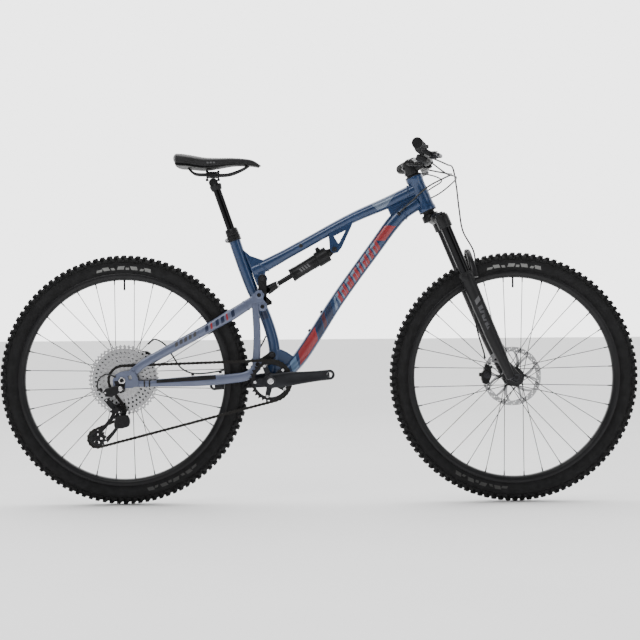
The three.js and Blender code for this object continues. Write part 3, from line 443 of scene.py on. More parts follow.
FRAME_BLUE = look("frame_blue", (0.006, 0.030, 0.092), 0.36, 0.35, vary=0.10, blotch=14, grain=2600,
                  bump=0.03, coat=0.6, coat_roughness=0.08, fleck=0.006)
REAR_SILVER = look("rear_silver", (0.11, 0.13, 0.20), 0.40, 0.40, vary=0.07, blotch=16, grain=2600, bump=0.03,
                   coat=0.4, coat_roughness=0.12, fleck=0.012)
GRAPHIC_RED = look("graphic_red", (0.24, 0.006, 0.012), 0.45, 0.0, vary=0.08, blotch=30, grain=2400,
                   bump=0.02, coat=0.5)
GRAPHIC_LIGHT = look("graphic_light", (0.10, 0.17, 0.28), 0.40, 0.4, vary=0.07, blotch=30, grain=2400,
                     bump=0.02, coat=0.5)
GRAPHIC_SILVER = look("graphic_silver", (0.13, 0.17, 0.24), 0.38, 0.5, vary=0.06, blotch=30, grain=2400,
                      bump=0.02, coat=0.5)
GRAPHIC_MAROON = look("graphic_maroon", (0.060, 0.010, 0.020), 0.40, 0.2, vary=0.07, blotch=30, grain=2400,
                      bump=0.02, coat=0.5)
# Dark navy: printed stripes on the stays and down tube, and painted shade on the seat tube below the upper
# link
NAVY_PRINT_AND_SHADE = look("navy_print_and_painted_shade", (0.006, 0.014, 0.045), 0.40, 0.3, vary=0.07, blotch=30, grain=2400,
                    bump=0.02, coat=0.5)
GRAPHIC_GREY = look("graphic_grey", (0.045, 0.045, 0.05), 0.5, 0.0, vary=0.08, blotch=40, grain=2000,
                    bump=0.02)
BLACK_PAINT = look("satin_black_paint", (0.008, 0.008, 0.009), 0.38, 0.0, vary=0.15, blotch=20, grain=2600,
                   bump=0.04, coat=0.08, coat_roughness=0.25, specular=0.22)
BLACK_ANODISED = look("black_anodised", (0.014, 0.014, 0.015), 0.42, 0.7, vary=0.15, blotch=70, grain=3200,
                      bump=0.06)
GREY_ANODISED = look("dark_grey_anodised", (0.035, 0.035, 0.039), 0.40, 0.85, vary=0.12, blotch=80,
                     grain=3000, bump=0.06)
FORGED_GREY = look("forged_grey", (0.020, 0.021, 0.024), 0.36, 0.75, vary=0.10, blotch=60, grain=2800,
                   bump=0.05)
BRIGHT_STEEL = look("bright_steel", (0.66, 0.66, 0.67), 0.24, 1.0, vary=0.10, blotch=120, grain=2600,
                    bump=0.05)
COG_STEEL = look("cog_steel", (0.50, 0.50, 0.51), 0.30, 1.0, vary=0.10, blotch=160, grain=3000, bump=0.06)
BRUSHED_STEEL = look("brushed_steel", (0.46, 0.46, 0.47), 0.32, 1.0, vary=0.10, blotch=90, grain=700,
                     bump=0.10, stretch=(1, 0.2, 4))
CHAIN_STEEL = look("chain_steel", (0.022, 0.021, 0.020), 0.40, 0.85, vary=0.25, blotch=240, grain=2000,
                   bump=0.06)
STANCHION_BLACK = look("polished_black", (0.010, 0.010, 0.011), 0.16, 0.8, vary=0.08, blotch=20,
                       rough_spread=0.03, grain=3000, bump=0.0)
TYRE_RUBBER = look("tyre_rubber", (0.009, 0.009, 0.0095), 0.74, 0.0, vary=0.30, blotch=45, rough_spread=0.12,
                   grain=1400, bump=0.35, depth=0.0003, specular=0.22)
SIDEWALL_RUBBER = look("sidewall_rubber", (0.010, 0.010, 0.010), 0.62, 0.0, vary=0.25, blotch=60, grain=1800,
                       bump=0.25, depth=0.0002, specular=0.22)
SIDEWALL_MARK = look("sidewall_mark", (0.16, 0.16, 0.155), 0.6, 0.0, vary=0.12, blotch=90, grain=1500,
                     bump=0.1)
SIDEWALL_DULL = look("sidewall_dull_mark", (0.030, 0.030, 0.029), 0.65, 0.0, vary=0.15, blotch=90, grain=1500,
                     bump=0.1)
GRIP_RUBBER = look("grip_rubber", (0.012, 0.012, 0.013), 0.78, 0.0, vary=0.2, blotch=90, grain=1600, bump=0.3,
                   depth=0.0003, specular=0.25)
SADDLE_VINYL = look("saddle_vinyl", (0.011, 0.011, 0.012), 0.52, 0.0, vary=0.2, blotch=35, grain=850,
                    bump=0.45, texture="cells", depth=0.0003, specular=0.3)
SADDLE_SHELL = look("saddle_shell", (0.008, 0.008, 0.008), 0.45, 0.0, vary=0.2, blotch=50, grain=1500,
                    bump=0.1, specular=0.3)
MOULDED_PLASTIC = look("moulded_plastic", (0.014, 0.014, 0.015), 0.5, 0.0, vary=0.2, blotch=60, grain=2000,
                       bump=0.15, specular=0.3)
HOSE_SHEATH = look("hose_sheath", (0.010, 0.010, 0.010), 0.38, 0.0, vary=0.2, blotch=60, grain=1800,
                   bump=0.08)
LABEL_GREY = look("label_grey", (0.09, 0.09, 0.095), 0.45, 0.2, vary=0.1, blotch=60, grain=1800, bump=0.05)
FLOOR = look("studio_floor", (0.90, 0.90, 0.90), 0.75, 0.0, vary=0.01, blotch=2, grain=300, bump=0.02)


# ---- Front frame ----
HEAD_LENGTH = 110
TOP_TUBE = Tube([(-196, 0, 695), (-150, 0, 717), (-55, 0, 768), (101, 0, 852), (213, 0, 900), (302, 0, 942)],
                [14, 16, 17, 18, 19, 20], [20, 16, 15.5, 16, 18, 20], 60, 0.88)
DOWN_TUBE = Tube([(300, 0, 896), (253, 0, 866), (222, 0, 834), (173, 0, 768), (55, 0, 606), (-10, 0, 505),
                  (-64, 0, 427), (-112, 0, 376)],
                 [22, 23, 22, 21, 21, 21, 24, 28], [20, 22, 21, 20.5, 20.5, 21, 22, 20], 72, 0.86)
SEAT_TUBE = Tube([(-251, 0, 788), (-245, 0, 768), (-198, 0, 637), (-169, 0, 581), (-134, 0, 461),
                  (-143, 0, 386)],
                 [17.5, 17.5, 17, 16, 16.5, 18.5], [17.5, 17.5, 17, 17, 17, 20], 60)


def weld(part, tube, t, lean=0.0, size=2.1, ripples=44):
    """Rippled bead round a tube at a fraction along it."""
    rings = []
    for j in range(ripples * 2):
        angle = TURN * j / (ripples * 2)
        here = t + lean * math.sin(angle)
        centre = tube.point(here, angle, 0.4)
        middle, tangent, _, _ = tube.frame_at(here)
        out = (centre - middle).normalized()
        r = size * (1.0 if j % 2 else 0.72)
        rings.append([centre + out * (r * math.cos(TURN * k / 6))
                      + tangent * (r * 1.5 * math.sin(TURN * k / 6)) for k in range(6)])
    part.rings(rings, loop=True)


def arc(centre, r, start, stop, steps):
    return [polar(centre, r, lerp(start, stop, i / steps)) for i in range(steps + 1)]


def circle(centre, r, steps=20):
    return arc(centre, r, 0, TURN * (1 - 1 / steps), steps - 1)


def head_tube():
    Piece().spin(HEAD_LOW, HEAD_AXIS, [(19.6, 0), (26.5, 0), (27, 2), (27, 9), (25.4, 13), (24.2, 40),
                                       (24, 72), (24.6, 94), (26.4, 98), (26.4, 108), (25.8, 110),
                                       (19.6, 110)], 48, loop=True).finish("frame_head_tube", FRAME_BLUE,
                                                                           "frame", "head_tube", bevel=0.5)
    cups = Piece()
    cups.spin(HEAD_LOW, HEAD_AXIS, [(19, -3.6), (25.6, -3.6), (26.3, -2.6), (26.3, 0), (19, 0)], 48,
              loop=True)
    cups.spin(HEAD_LOW, HEAD_AXIS, [(18.7, HEAD_LENGTH), (25.8, HEAD_LENGTH), (25.8, HEAD_LENGTH + 2.4),
                                    (21, HEAD_LENGTH + 5), (18.7, HEAD_LENGTH + 5)], 48, loop=True)
    cups.finish("frame_headset_cups", BLACK_ANODISED, "frame", bevel=0.3)
    Piece().sheet([[head_point(along, 24.9 * math.sin(angle * 0.42), 24.9 * math.cos(angle * 0.42))
                    for along in (55 - half, 55 + half)] for angle,
                   half in ((-0.9, 20), (-0.5, 17), (0, 15), (0.5, 17),
                            (0.9, 20))]).finish("frame_head_badge", GRAPHIC_SILVER, "frame")


def bracket_outline():
    return [(30, 808), (106, 846), (100, 828), (70, 764), (58, 749), (47, 746.5), (37, 751), (34, 760)]


def top_tube():
    part = Piece().skin(TOP_TUBE, 32)
    part.finish("frame_top_tube", FRAME_BLUE, "frame", "top_tube")
    bracket = Piece()
    window = [(46, 798), (82, 816), (60, 775)]
    for y0, y1 in ((-16, -11), (11, 16)):
        bracket.prism(bracket_outline(), y0, y1, [window])
    bracket.finish("frame_shock_bracket", FRAME_BLUE, "frame", bevel=1.6, segments=3)
    Piece().prism([(206, 884), (300, 936), (305, 916), (262, 870), (222, 846)], -11,
                  11).finish("frame_head_web", FRAME_BLUE, "frame", bevel=4.0, segments=4)
    bolts = Piece()
    bolts.bolt(SHOCK_FRONT, -16, -1, 7.5, 3.2)
    bolts.bolt(SHOCK_FRONT, 16, 1, 7.5, 3.2)
    bolts.rod(at(SHOCK_FRONT, -15), at(SHOCK_FRONT, 15), 4.9)
    bolts.finish("frame_shock_bolt", GREY_ANODISED, "frame", bevel=0.3)
    marks = Piece()
    for a0, a1 in both_flanks(138, 212):
        marks.patch(TOP_TUBE, 0.71, 0.86, a0, a1, -0.03, taper=0.30)
    marks.finish("frame_top_tube_mark", GRAPHIC_SILVER, "frame")
    grommet = Piece()
    spot = TOP_TUBE.point(0.29, math.pi)
    grommet.spin(spot + Vector((0, 1.0, 0)), (0, -1, 0), [(6, 0), (6, 1.6), (4.5, 2.6), (0.01, 2.6)], 20)
    grommet.finish("frame_grommet", MOULDED_PLASTIC, "frame", bevel=0.2)


def down_tube():
    part = Piece().skin(DOWN_TUBE, 36)
    part.finish("frame_down_tube", FRAME_BLUE, "frame", "down_tube")
    beads = Piece()
    weld(beads, DOWN_TUBE, 0.075, 0.012)
    weld(beads, DOWN_TUBE, 0.955, -0.012)
    weld(beads, TOP_TUBE, 0.935, 0.012)
    weld(beads, TOP_TUBE, 0.055, -0.02)
    weld(beads, SEAT_TUBE, 0.93, 0.0)
    beads.finish("frame_welds", FRAME_BLUE, "frame", smooth=75)


def down_tube_marks():
    """A long mark of slanted bars, each a generic block, between two wedges."""
    red, edge, navy, dark, pale = Piece(), Piece(), Piece(), Piece(), Piece()
    bars = [(0.262, 0.298), (0.308, 0.330), (0.340, 0.376), (0.387, 0.402), (0.413, 0.450), (0.461, 0.492),
            (0.503, 0.536), (0.546, 0.566)]
    for low, high in both_flanks(140, 218):
        for t0, t1 in bars:
            middle = (t0 + t1) / 2
            notch = (t1 - t0) / 12
            edge.patch(DOWN_TUBE, t0 + 0.004, t1 + 0.004, lerp(low, high, 0.02), lerp(low, high, 1.04), -0.02,
                       0.18)
            red.patch(DOWN_TUBE, t0, middle - notch, low, high, -0.02, 0.30)
            red.patch(DOWN_TUBE, middle + notch, t1, low, lerp(low, high, 0.66), -0.012, 0.30)
        red.patch(DOWN_TUBE, 0.165, 0.248, lerp(low, high, 0.1), high, 0.03, 0.25)
        edge.patch(DOWN_TUBE, 0.578, 0.598, low, high, -0.045, 0.25, taper=0.5)
        navy.patch(DOWN_TUBE, 0.617, 0.662, low, high, -0.045, 0.25)
        dark.patch(DOWN_TUBE, 0.670, 0.694, low, high, -0.045, 0.25)
        navy.patch(DOWN_TUBE, 0.702, 0.738, low, high, -0.045, 0.25)
        red.patch(DOWN_TUBE, 0.748, 0.884, low, high, -0.045, 0.25)
        pale.patch(DOWN_TUBE, 0.900, 0.940, low, high, -0.03, 0.25)
    red.finish("down_tube_red_marks", GRAPHIC_RED, "frame")
    edge.finish("down_tube_silver_marks", GRAPHIC_SILVER, "frame")
    dark.finish("down_tube_dark_red_marks", GRAPHIC_MAROON, "frame")
    pale.finish("down_tube_light_marks", GRAPHIC_LIGHT, "frame")
    navy.finish("down_tube_navy_marks", NAVY_PRINT_AND_SHADE, "frame")


def down_tube_fittings():
    bosses = Piece()
    for t in (0.655, 0.755):
        centre, _, _, up = DOWN_TUBE.frame_at(t)
        spot = DOWN_TUBE.point(t, math.radians(90) if up.z > 0 else math.radians(-90))
        out = (spot - centre).normalized()
        bosses.spin(spot - out * 1.0, out, [(6.2, 0), (6.2, 1.8), (5.4, 2.4), (4.6, 2.4), (4.4, 5.0),
                                            (2.2, 5.4), (2.0, 3.4), (0.01, 3.4)], 20)
    bosses.finish("frame_bottle_bolts", GREY_ANODISED, "frame", bevel=0.2)
    ports = Piece()
    for x, y, z in ((240, -20, 862), (247, 20, 853), (261, 20.5, 882)):
        lean = math.copysign(0.55, y)
        ports.spin((x, y, z), (0.55, lean, 0.45), [(6.2, 0), (6.2, 3), (4.6, 5.5), (0.01, 5.5)], 20)
    ports.finish("frame_cable_ports", MOULDED_PLASTIC, "frame", bevel=0.3)


def seat_tube():
    part = Piece().skin(SEAT_TUBE, 36)
    part.finish("frame_seat_tube", FRAME_BLUE, "frame", "seat_tube")
    gusset = Piece()
    gusset.prism([(-228, 762), (-205, 742), (-160, 726), (-152, 712), (-162, 680), (-170, 650), (-184, 650)],
                 -12, 12)
    gusset.prism([(-150, 444), (-134, 458), (-116, 462), (-96, 452), (-72, 436), (-92, 410), (-112, 384),
                  (-136, 380)], -15, 15)
    gusset.prism([(-198, 690), (-168, 690), (-154, 671), (-168, 657), (-184, 650)], -13, 13)
    gusset.finish("frame_gussets", FRAME_BLUE, "frame", bevel=5.0, segments=4)
    lugs = Piece()
    lugs.spin(at(LINK_UPPER_FRAME, -20), Y_AXIS, [(14, 0), (15, 1), (15, 39), (14, 40)], 40)
    lugs.spin(at(LINK_LOWER_FRAME, -20), Y_AXIS, [(12, 0), (13, 1), (13, 39), (12, 40)], 40)
    lugs.spin(at(BB, -36.5), Y_AXIS, [(18.6, 0), (22.4, 0), (23, 0.8), (23, 72.2), (22.4, 73), (18.6, 73)],
              48, loop=True)
    lugs.finish("frame_lugs", FRAME_BLUE, "frame", bevel=0.4)
    cups = Piece()
    for side in (-1, 1):
        rows = [(12.6, 0), (21, 0), (21, 1.5), (22, 2.2), (22, 7.0), (20, 9.4), (12.6, 9.4)]
        cups.spin(at(BB, side * 36.6), (0, side, 0), rows, 48, loop=True)
        for k in range(16):
            spot = polar(BB, 21.6, TURN * k / 16)
            cups.rod(at(spot, side * 39.5), at(spot, side * 43.4), 1.5, sides=8)
    cups.finish("bottom_bracket_cups", BLACK_ANODISED, "frame", bevel=0.3)
    # Painted shade: a darker navy band across both flanks of the seat tube, just below the upper link,
    # standing in for the shade there
    seat_tube_shade = Piece()
    for a0, a1 in both_flanks(150, 215):
        seat_tube_shade.patch(SEAT_TUBE, 0.545, 0.60, a0, a1, 0.0, 0.3)
    seat_tube_shade.finish("frame_seat_tube_painted_shade", NAVY_PRINT_AND_SHADE, "frame")


def seat_collar():
    band = Piece()
    band.spin(post_point(-3), POST_DIR, [(15.9, 0), (20.4, 0), (21, 0.8), (21, 3.6), (20.2, 4.4),
                                         (20.2, 11.6), (21, 12.4), (21, 15.2), (20.4, 16), (15.9, 16)], 48,
              loop=True)
    boss = post_point(5) + Vector((-21, 0, -7))
    for y0, y1 in ((-9, -1), (1, 9)):
        band.rod(boss + Vector((0, y0, 0)), boss + Vector((0, y1, 0)), 6.4, sides=24, chamfer=0.8)
    band.finish("seat_collar_band", BLACK_ANODISED, "frame", "seat_collar", bevel=0.3)
    bolt = Piece()
    bolt.bolt((boss.x, boss.z), -9, -1, 4.6, 3.4)
    bolt.rod(boss + Vector((0, -8, 0)), boss + Vector((0, 8, 0)), 2.6)
    bolt.finish("seat_collar_bolt", BRIGHT_STEEL, "frame", bevel=0.2)


def dropper_outer():
    outer = Piece()
    outer.spin(post_point(-161), POST_DIR, [(13.2, 0), (15, 0), (15, 176), (13.2, 176)], 48, loop=True)
    outer.spin(post_point(14), POST_DIR, [(12.9, 0), (19.4, 0), (20, 1), (20, 6), (18.9, 7), (18.9, 8.4),
                                          (19.6, 9.4), (18.4, 19.5), (17, 21.4), (14.6, 22), (12.9, 22)], 48,
               loop=True)
    for k in range(24):
        turn = TURN * k / 24
        u = POST_DIR.orthogonal().normalized()
        v = POST_DIR.cross(u)
        out = u * math.cos(turn) + v * math.sin(turn)
        outer.rod(post_point(25) + out * 18.7, post_point(31) + out * 18.2, 1.0, sides=6)
    outer.finish("dropper_outer_tube", BLACK_ANODISED, "frame", "dropper_outer", bevel=0.3)


head_tube()
top_tube()
down_tube()
down_tube_marks()
down_tube_fittings()
seat_tube()
seat_collar()
dropper_outer()


# ---- Rear triangle ----
AXLE_Y = 74
CHAINSTAY = [(-545, 77, 363), (-493, 72, 363), (-400, 58, 366), (-325, 46, 369.5), (-262, 40.6, 375),
             (-214, 40.2, 384), (-183.9, 38.8, 409)]
SEATSTAY = [(-556, 76, 392), (-520, 73, 422), (-433, 58, 471), (-312, 42, 535.6), (-250, 34, 572),
            (-193, 29, 608)]


def mirrored(points, side):
    return [(x, y * side, z) for x, y, z in points]


def span(side, low, high):
    return (low, high) if side > 0 else (-high, -low)


def dropout_outline():
    return [(-600, 348), (-608, 358), (-610, 374), (-603, 390), (-588, 398), (-566, 402), (-546, 399),
            (-538, 386), (-534, 372), (-536, 357), (-552, 351), (-572, 350), (-585, 345)]


def rear_stays():
    for side, label in SIDES:
        chain_tube = Tube(mirrored(CHAINSTAY, side), [5.5, 6, 7, 7, 5.6, 5.4, 5.5],
                          [9, 9, 12, 14, 14, 14, 12], 64, 0.8)
        stay_tube = Tube(mirrored(SEATSTAY, side), [5, 6, 8, 9, 6, 3.8], [12, 12, 13, 14, 16, 14], 64, 0.8)
        Piece().skin(chain_tube, 28).finish(f"chainstay_{label}_tube", REAR_SILVER, "rear_triangle",
                                            f"chainstay_{label}")
        Piece().skin(stay_tube, 28).finish(f"seatstay_{label}_tube", REAR_SILVER, "rear_triangle",
                                            f"seatstay_{label}")
        plates = Piece()
        window = [(-562, 374), (-552, 378), (-556, 388), (-566, 386)]
        plates.prism(dropout_outline(), *span(side, AXLE_Y + 0.4, AXLE_Y + 9),
                     [circle(REAR, 7.6, 28), window])
        end = [(-214, 596), (-205, 612), (-196, 625), (-184, 637), (-172, 637), (-163, 626), (-166, 610),
               (-155, 596), (-154, 584), (-162, 575), (-176, 575), (-188, 590)]
        holes = [circle(LINK_UPPER_REAR, 5.6, 24), circle(SHOCK_REAR, 5.6, 24)]
        plates.prism(end, *span(side, 25, 32), holes)
        plates.finish(f"rear_plates_{label}", REAR_SILVER, "rear_triangle", bevel=1.2, segments=3)
        Piece().spin(at(LINK_LOWER_REAR, side * 34), (0, side, 0),
                     [(6.4, 0), (12.4, 0), (13, 0.8), (13, 9.4), (12.4, 10), (6.4, 10)], 40,
                     loop=True).finish(f"rear_eye_{label}", REAR_SILVER, "rear_triangle", bevel=0.3)
        rims = Piece()
        for centre in (LINK_UPPER_REAR, SHOCK_REAR):
            rims.spin(at(centre, side * 31.6), (0, side, 0), [(6.2, 0), (11.4, 0), (11.6, 1.4), (10.6, 2.2),
                                                             (6.2, 2.2)], 40, loop=True)
        rims.finish(f"rear_pivot_rims_{label}", REAR_SILVER, "rear_triangle", bevel=0.2)
        bolts = Piece()
        for centre in (LINK_UPPER_REAR, SHOCK_REAR):
            bolts.bolt(centre, side * 30.4, side, 6.0, 2.6)
            bolts.rod(at(centre, side * 25.6), at(centre, side * 31), 5.2)
        bolts.bolt(LINK_LOWER_REAR, side * 42.6, side, 6.2, 2.4)
        bolts.rod(at(LINK_LOWER_REAR, side * 34.6), at(LINK_LOWER_REAR, side * 43), 6.0)
        bolts.finish(f"rear_pivot_bolts_{label}", BLACK_ANODISED, "rear_triangle", bevel=0.2)
        marks, dark, red = Piece(), Piece(), Piece()
        low, high = both_flanks(150, 210)[side > 0]
        for k, width in enumerate((0.024, 0.014, 0.024, 0.026, 0.014, 0.026)):
            start = 0.60 + k * 0.042
            (red if k in (1, 4) else dark).patch(stay_tube, start, start + width, low, high, -0.018, 0.22)
        for k in range(5):
            start = 0.365 + k * 0.036
            marks.patch(stay_tube, start, start + 0.022, low, lerp(low, high, 0.75), -0.014, 0.22)
        dark.finish(f"seatstay_{label}_marks", NAVY_PRINT_AND_SHADE, "rear_triangle")
        red.finish(f"seatstay_{label}_red_marks", GRAPHIC_RED, "rear_triangle")
        marks.finish(f"seatstay_{label}_small_marks", GRAPHIC_GREY, "rear_triangle")
        beads = Piece()
        weld(beads, chain_tube, 0.035, 0.0, 1.5, 26)
        weld(beads, stay_tube, 0.03, 0.0, 1.5, 26)
        weld(beads, stay_tube, 0.93, 0.0, 1.5, 26)
        beads.finish(f"rear_welds_{label}", REAR_SILVER, "rear_triangle", smooth=75)


def rear_yoke():
    part = Piece()
    for side in (-1, 1):
        part.skin(Tube(mirrored([(-190.5, 31.5, 596), (-186, 31.5, 500), (-190, 31.5, 402)], side),
                       [4.3, 4.3, 4.3], [10, 10, 11], 32, 0.6), 28)
    part.finish("rear_yoke_struts", REAR_SILVER, "rear_triangle", "rear_yoke")
    Piece().box((-201, 0, 404), (8, 66, 18)).finish("rear_yoke_bridge", REAR_SILVER, "rear_triangle",
                                                    bevel=2.2, segments=4)


def chainstay_guard():
    guard_tube = Tube(mirrored(CHAINSTAY, -1), [7.4, 7.8, 8.6, 8.6, 6.8, 6.4, 6.6],
                      [10.4, 10.4, 13.4, 15.4, 15.2, 15.2, 13], 64, 0.8)
    guard = Piece()
    rings = []
    for i in range(41):
        t = lerp(0.17, 0.64, i / 40)
        angles = [lerp(math.radians(12), math.radians(172), j / 16) for j in range(17)]
        rings.append([guard_tube.point(t, angle, 0.0) for angle in angles]
                     + [guard_tube.point(t, angle, -1.4) for angle in reversed(angles)])
    guard.rings(rings)
    guard.finish("chainstay_guard", GRIP_RUBBER, "rear_triangle")
    ribs = Piece()
    for k in range(22):
        t = lerp(0.22, 0.60, k / 21)
        ribs.patch(guard_tube, t - 0.0045, t + 0.0045, math.radians(38), math.radians(158), 0.0, 1.1, (3, 10))
    ribs.finish("chainstay_guard_ribs", GRIP_RUBBER, "rear_triangle")
    straps = Piece()
    for side in (-1, 1):
        tube = Tube(mirrored(CHAINSTAY, side), [5.5, 6, 7, 7, 5.6, 5.4, 5.5], [9, 9, 12, 14, 14, 14, 12], 64,
                    0.8)
        for t in (0.075, 0.115):
            rings = [[tube.point(t + (u - 0.5) * 0.012, TURN * j / 24, lift) for j in range(24)]
                     for u, lift in ((0, 0.2), (0.1, 1.2), (0.9, 1.2), (1, 0.2))]
            straps.rings(rings)
    straps.finish("chainstay_straps", MOULDED_PLASTIC, "rear_triangle")


def rear_axle():
    Piece().rod(at(REAR, -85), at(REAR, 85), 6.0, sides=32).finish("rear_axle_bar", BLACK_ANODISED,
                                                                   "rear_triangle", "rear_axle")
    ends = Piece()
    for side in (-1, 1):
        ends.spin(at(REAR, side * 83.4), (0, side, 0), [(5.5, 0), (9.4, 0), (10, 0.8), (10, 2.8), (9, 3.6),
                                                        (6.4, 3.6), (6, 2.0), (5.5, 2.0)], 40, loop=True)
    ends.finish("rear_axle_rings", BRIGHT_STEEL, "rear_triangle", bevel=0.2)
    hexes = Piece()
    for side in (-1, 1):
        hexes.bolt(REAR, side * 83, side, 5.8, 3.0)
    hexes.finish("rear_axle_ends", BLACK_ANODISED, "rear_triangle")


ROTOR_GAP = 1.6
BRIDGE_LIFT = 5.6


def caliper(name, body, node, outline, y0, y1, disc_centre, disc_y, pads_at):
    """Two-piece brake caliper with piston caps, a bridge and a slot for the rotor."""
    part = Piece()
    part.prism(outline, y0, disc_y - ROTOR_GAP)
    part.prism(outline, disc_y + ROTOR_GAP, y1)
    part.finish(f"{name}_halves", BLACK_ANODISED, body, node, bevel=2.6, segments=4)
    hood = Piece()
    spot = Vector((pads_at[0], 0, pads_at[1]))
    out = (spot - at(disc_centre)).normalized()
    top = at(disc_centre) + out * (ROTOR_R + BRIDGE_LIFT)
    hood.box(top + Vector((0, disc_y, 0)), (12, 9, 8), (out.cross(Y_AXIS), Y_AXIS, out))
    hood.finish(f"{name}_bridge", BLACK_ANODISED, body, bevel=1.2, segments=3)
    caps = Piece()
    for side, y in ((-1, y0), (1, y1)):
        caps.spin((pads_at[0], y, pads_at[1]), (0, side, 0),
                  [(11, -1), (11, 1.0), (10, 1.8), (3.4, 1.8), (3, 0.8), (0.01, 0.8)], 32)
    caps.finish(f"{name}_piston_caps", GREY_ANODISED, body, bevel=0.2)


CALIPER_TURN = 0.42


def turned(point):
    """The point carried round the rear axle by the caliper's angle."""
    return polar(REAR, math.dist(point, REAR), math.atan2(point[1] - REAR[1], point[0] - REAR[0])
                 + CALIPER_TURN)


def rear_caliper():
    outline = [(-545, 404), (-538, 419), (-530, 428), (-518, 432), (-505, 431), (-493, 426), (-486, 418),
               (-484, 404), (-494, 396), (-505, 393), (-530, 394)]
    outline = [turned(p) for p in outline]
    caliper("rear_caliper", "rear_triangle", "rear_brake_caliper", outline, 36, 66, REAR, 51,
            turned((-514, 412)))
    bolts = Piece()
    for x, z in ((-540, 401), (-489, 412)):
        low, high = turned((x, z - 9)), turned((x - 3, z + 8))
        bolts.rod(at(low, 60), at(high, 62), 3.6, sides=16, chamfer=0.5)
    bolts.finish("rear_caliper_bolts", GREY_ANODISED, "rear_triangle")


# ---- Links and shock ----
def link_outline(a, b, width):
    along = math.atan2(b[1] - a[1], b[0] - a[0])
    return (arc(a, width, along + math.pi / 2, along + 1.5 * math.pi, 12)
            + arc(b, width * 0.9, along - math.pi / 2, along + math.pi / 2, 12))


def links():
    upper = Piece()
    for side in (-1, 1):
        upper.prism(link_outline(LINK_UPPER_FRAME, LINK_UPPER_REAR, 13), *span(side, 20.4, 24.4))
        upper.prism([(-168, 628), (-150, 613), (-141, 605), (-141, 595), (-152, 592), (-164, 590)],
                    *span(side, 20.4, 24.4))
    upper.box((-146, 0, 600), (6, 48.8, 9))
    upper.finish("upper_link_plates", BLACK_ANODISED, "upper_link", "upper_link", bevel=1.0, segments=3)
    caps = Piece()
    for side in (-1, 1):
        caps.bolt(LINK_UPPER_FRAME, side * 24.2, side, 7.2, 2.8)
    caps.finish("upper_link_bolts", GREY_ANODISED, "upper_link", bevel=0.3)
    lower = Piece()
    for side in (-1, 1):
        lower.prism(link_outline(LINK_LOWER_FRAME, LINK_LOWER_REAR, 11), *span(side, 20.4, 26))
    tip = Matrix.Rotation(0.55, 3, "Y")
    lower.box((-170, 0, 425), (7, 52, 8), tuple(tip @ axis for axis in AXES))
    lower.finish("lower_link_plates", BLACK_ANODISED, "lower_link", "lower_link", bevel=1.0, segments=3)
    low_caps = Piece()
    for side in (-1, 1):
        low_caps.bolt(LINK_LOWER_FRAME, side * 25.8, side, 7.2, 2.8)
    low_caps.finish("lower_link_bolts", GREY_ANODISED, "lower_link", bevel=0.3)


SHOCK_VECTOR = at(SHOCK_FRONT) - at(SHOCK_REAR)
SHOCK_LENGTH = SHOCK_VECTOR.length
SHOCK_AXIS = SHOCK_VECTOR.normalized()


def shock_point(along):
    return at(SHOCK_REAR) + SHOCK_AXIS * along


def shock_can():
    Piece().spin(at(SHOCK_FRONT), -SHOCK_AXIS, [(6.4, 6), (9.5, 8), (13, 20), (14, 23), (22, 23.2),
                                                (23.4, 25), (23.4, 60), (22, 62), (19.6, 63), (19.2, 66),
                                                (19.2, 143), (20.4, 144), (20.4, 150), (13.8, 150),
                                                (13.8, 30), (6.4, 28)], 48,
                 loop=True).finish("shock_can", BLACK_ANODISED, "shock_body", "shock_air_can", bevel=0.4)
    eye = Piece()
    eye.spin(at(SHOCK_FRONT, -10.5), Y_AXIS, [(5.2, 0), (8.6, 0), (9.2, 0.6), (9.2, 20.4), (8.6, 21),
                                              (5.2, 21)], 36, loop=True)
    for back in (66, 71, 76, 134, 139, 144, 149):
        eye.spin(at(SHOCK_FRONT), -SHOCK_AXIS, [(18.8, back), (20.6, back + 0.4), (20.6, back + 2.4),
                                                (18.8, back + 2.8)], 48, loop=True)
    eye.finish("shock_collars", BLACK_ANODISED, "shock_body", bevel=0.2)
    label = Tube([shock_point(SHOCK_LENGTH - 84), shock_point(SHOCK_LENGTH - 128)], 19, 19, 12)
    marks, red = Piece(), Piece()
    for a0 in (math.radians(135), math.radians(-45)):
        marks.patch(label, 0.0, 1.0, a0, a0 + math.radians(90), 0.0, 0.2)
        for k in range(4):
            red.patch(label, 0.12 + 0.2 * k, 0.24 + 0.2 * k, a0 + math.radians(25), a0 + math.radians(60),
                      0.06, 0.35, (4, 6))
    marks.finish("shock_label", GRAPHIC_GREY, "shock_body")
    red.finish("shock_label_marks", LABEL_GREY, "shock_body")
    knob = Piece()
    centre = shock_point(SHOCK_LENGTH - 44)
    up = SHOCK_AXIS.cross(Y_AXIS) * -1
    if up.z < 0:
        up = -up
    knob.spin(centre + up * 20, up, [(8, 0), (8, 5), (6.4, 7), (6.4, 12), (5.4, 13), (0.01, 13)], 28)
    knob.rod(centre + Vector((0, -20, 0)), centre + Vector((0, -27, 0)), 6.5, sides=24, chamfer=1.0)
    knob.finish("shock_knob", BLACK_ANODISED, "shock_body", bevel=0.3)


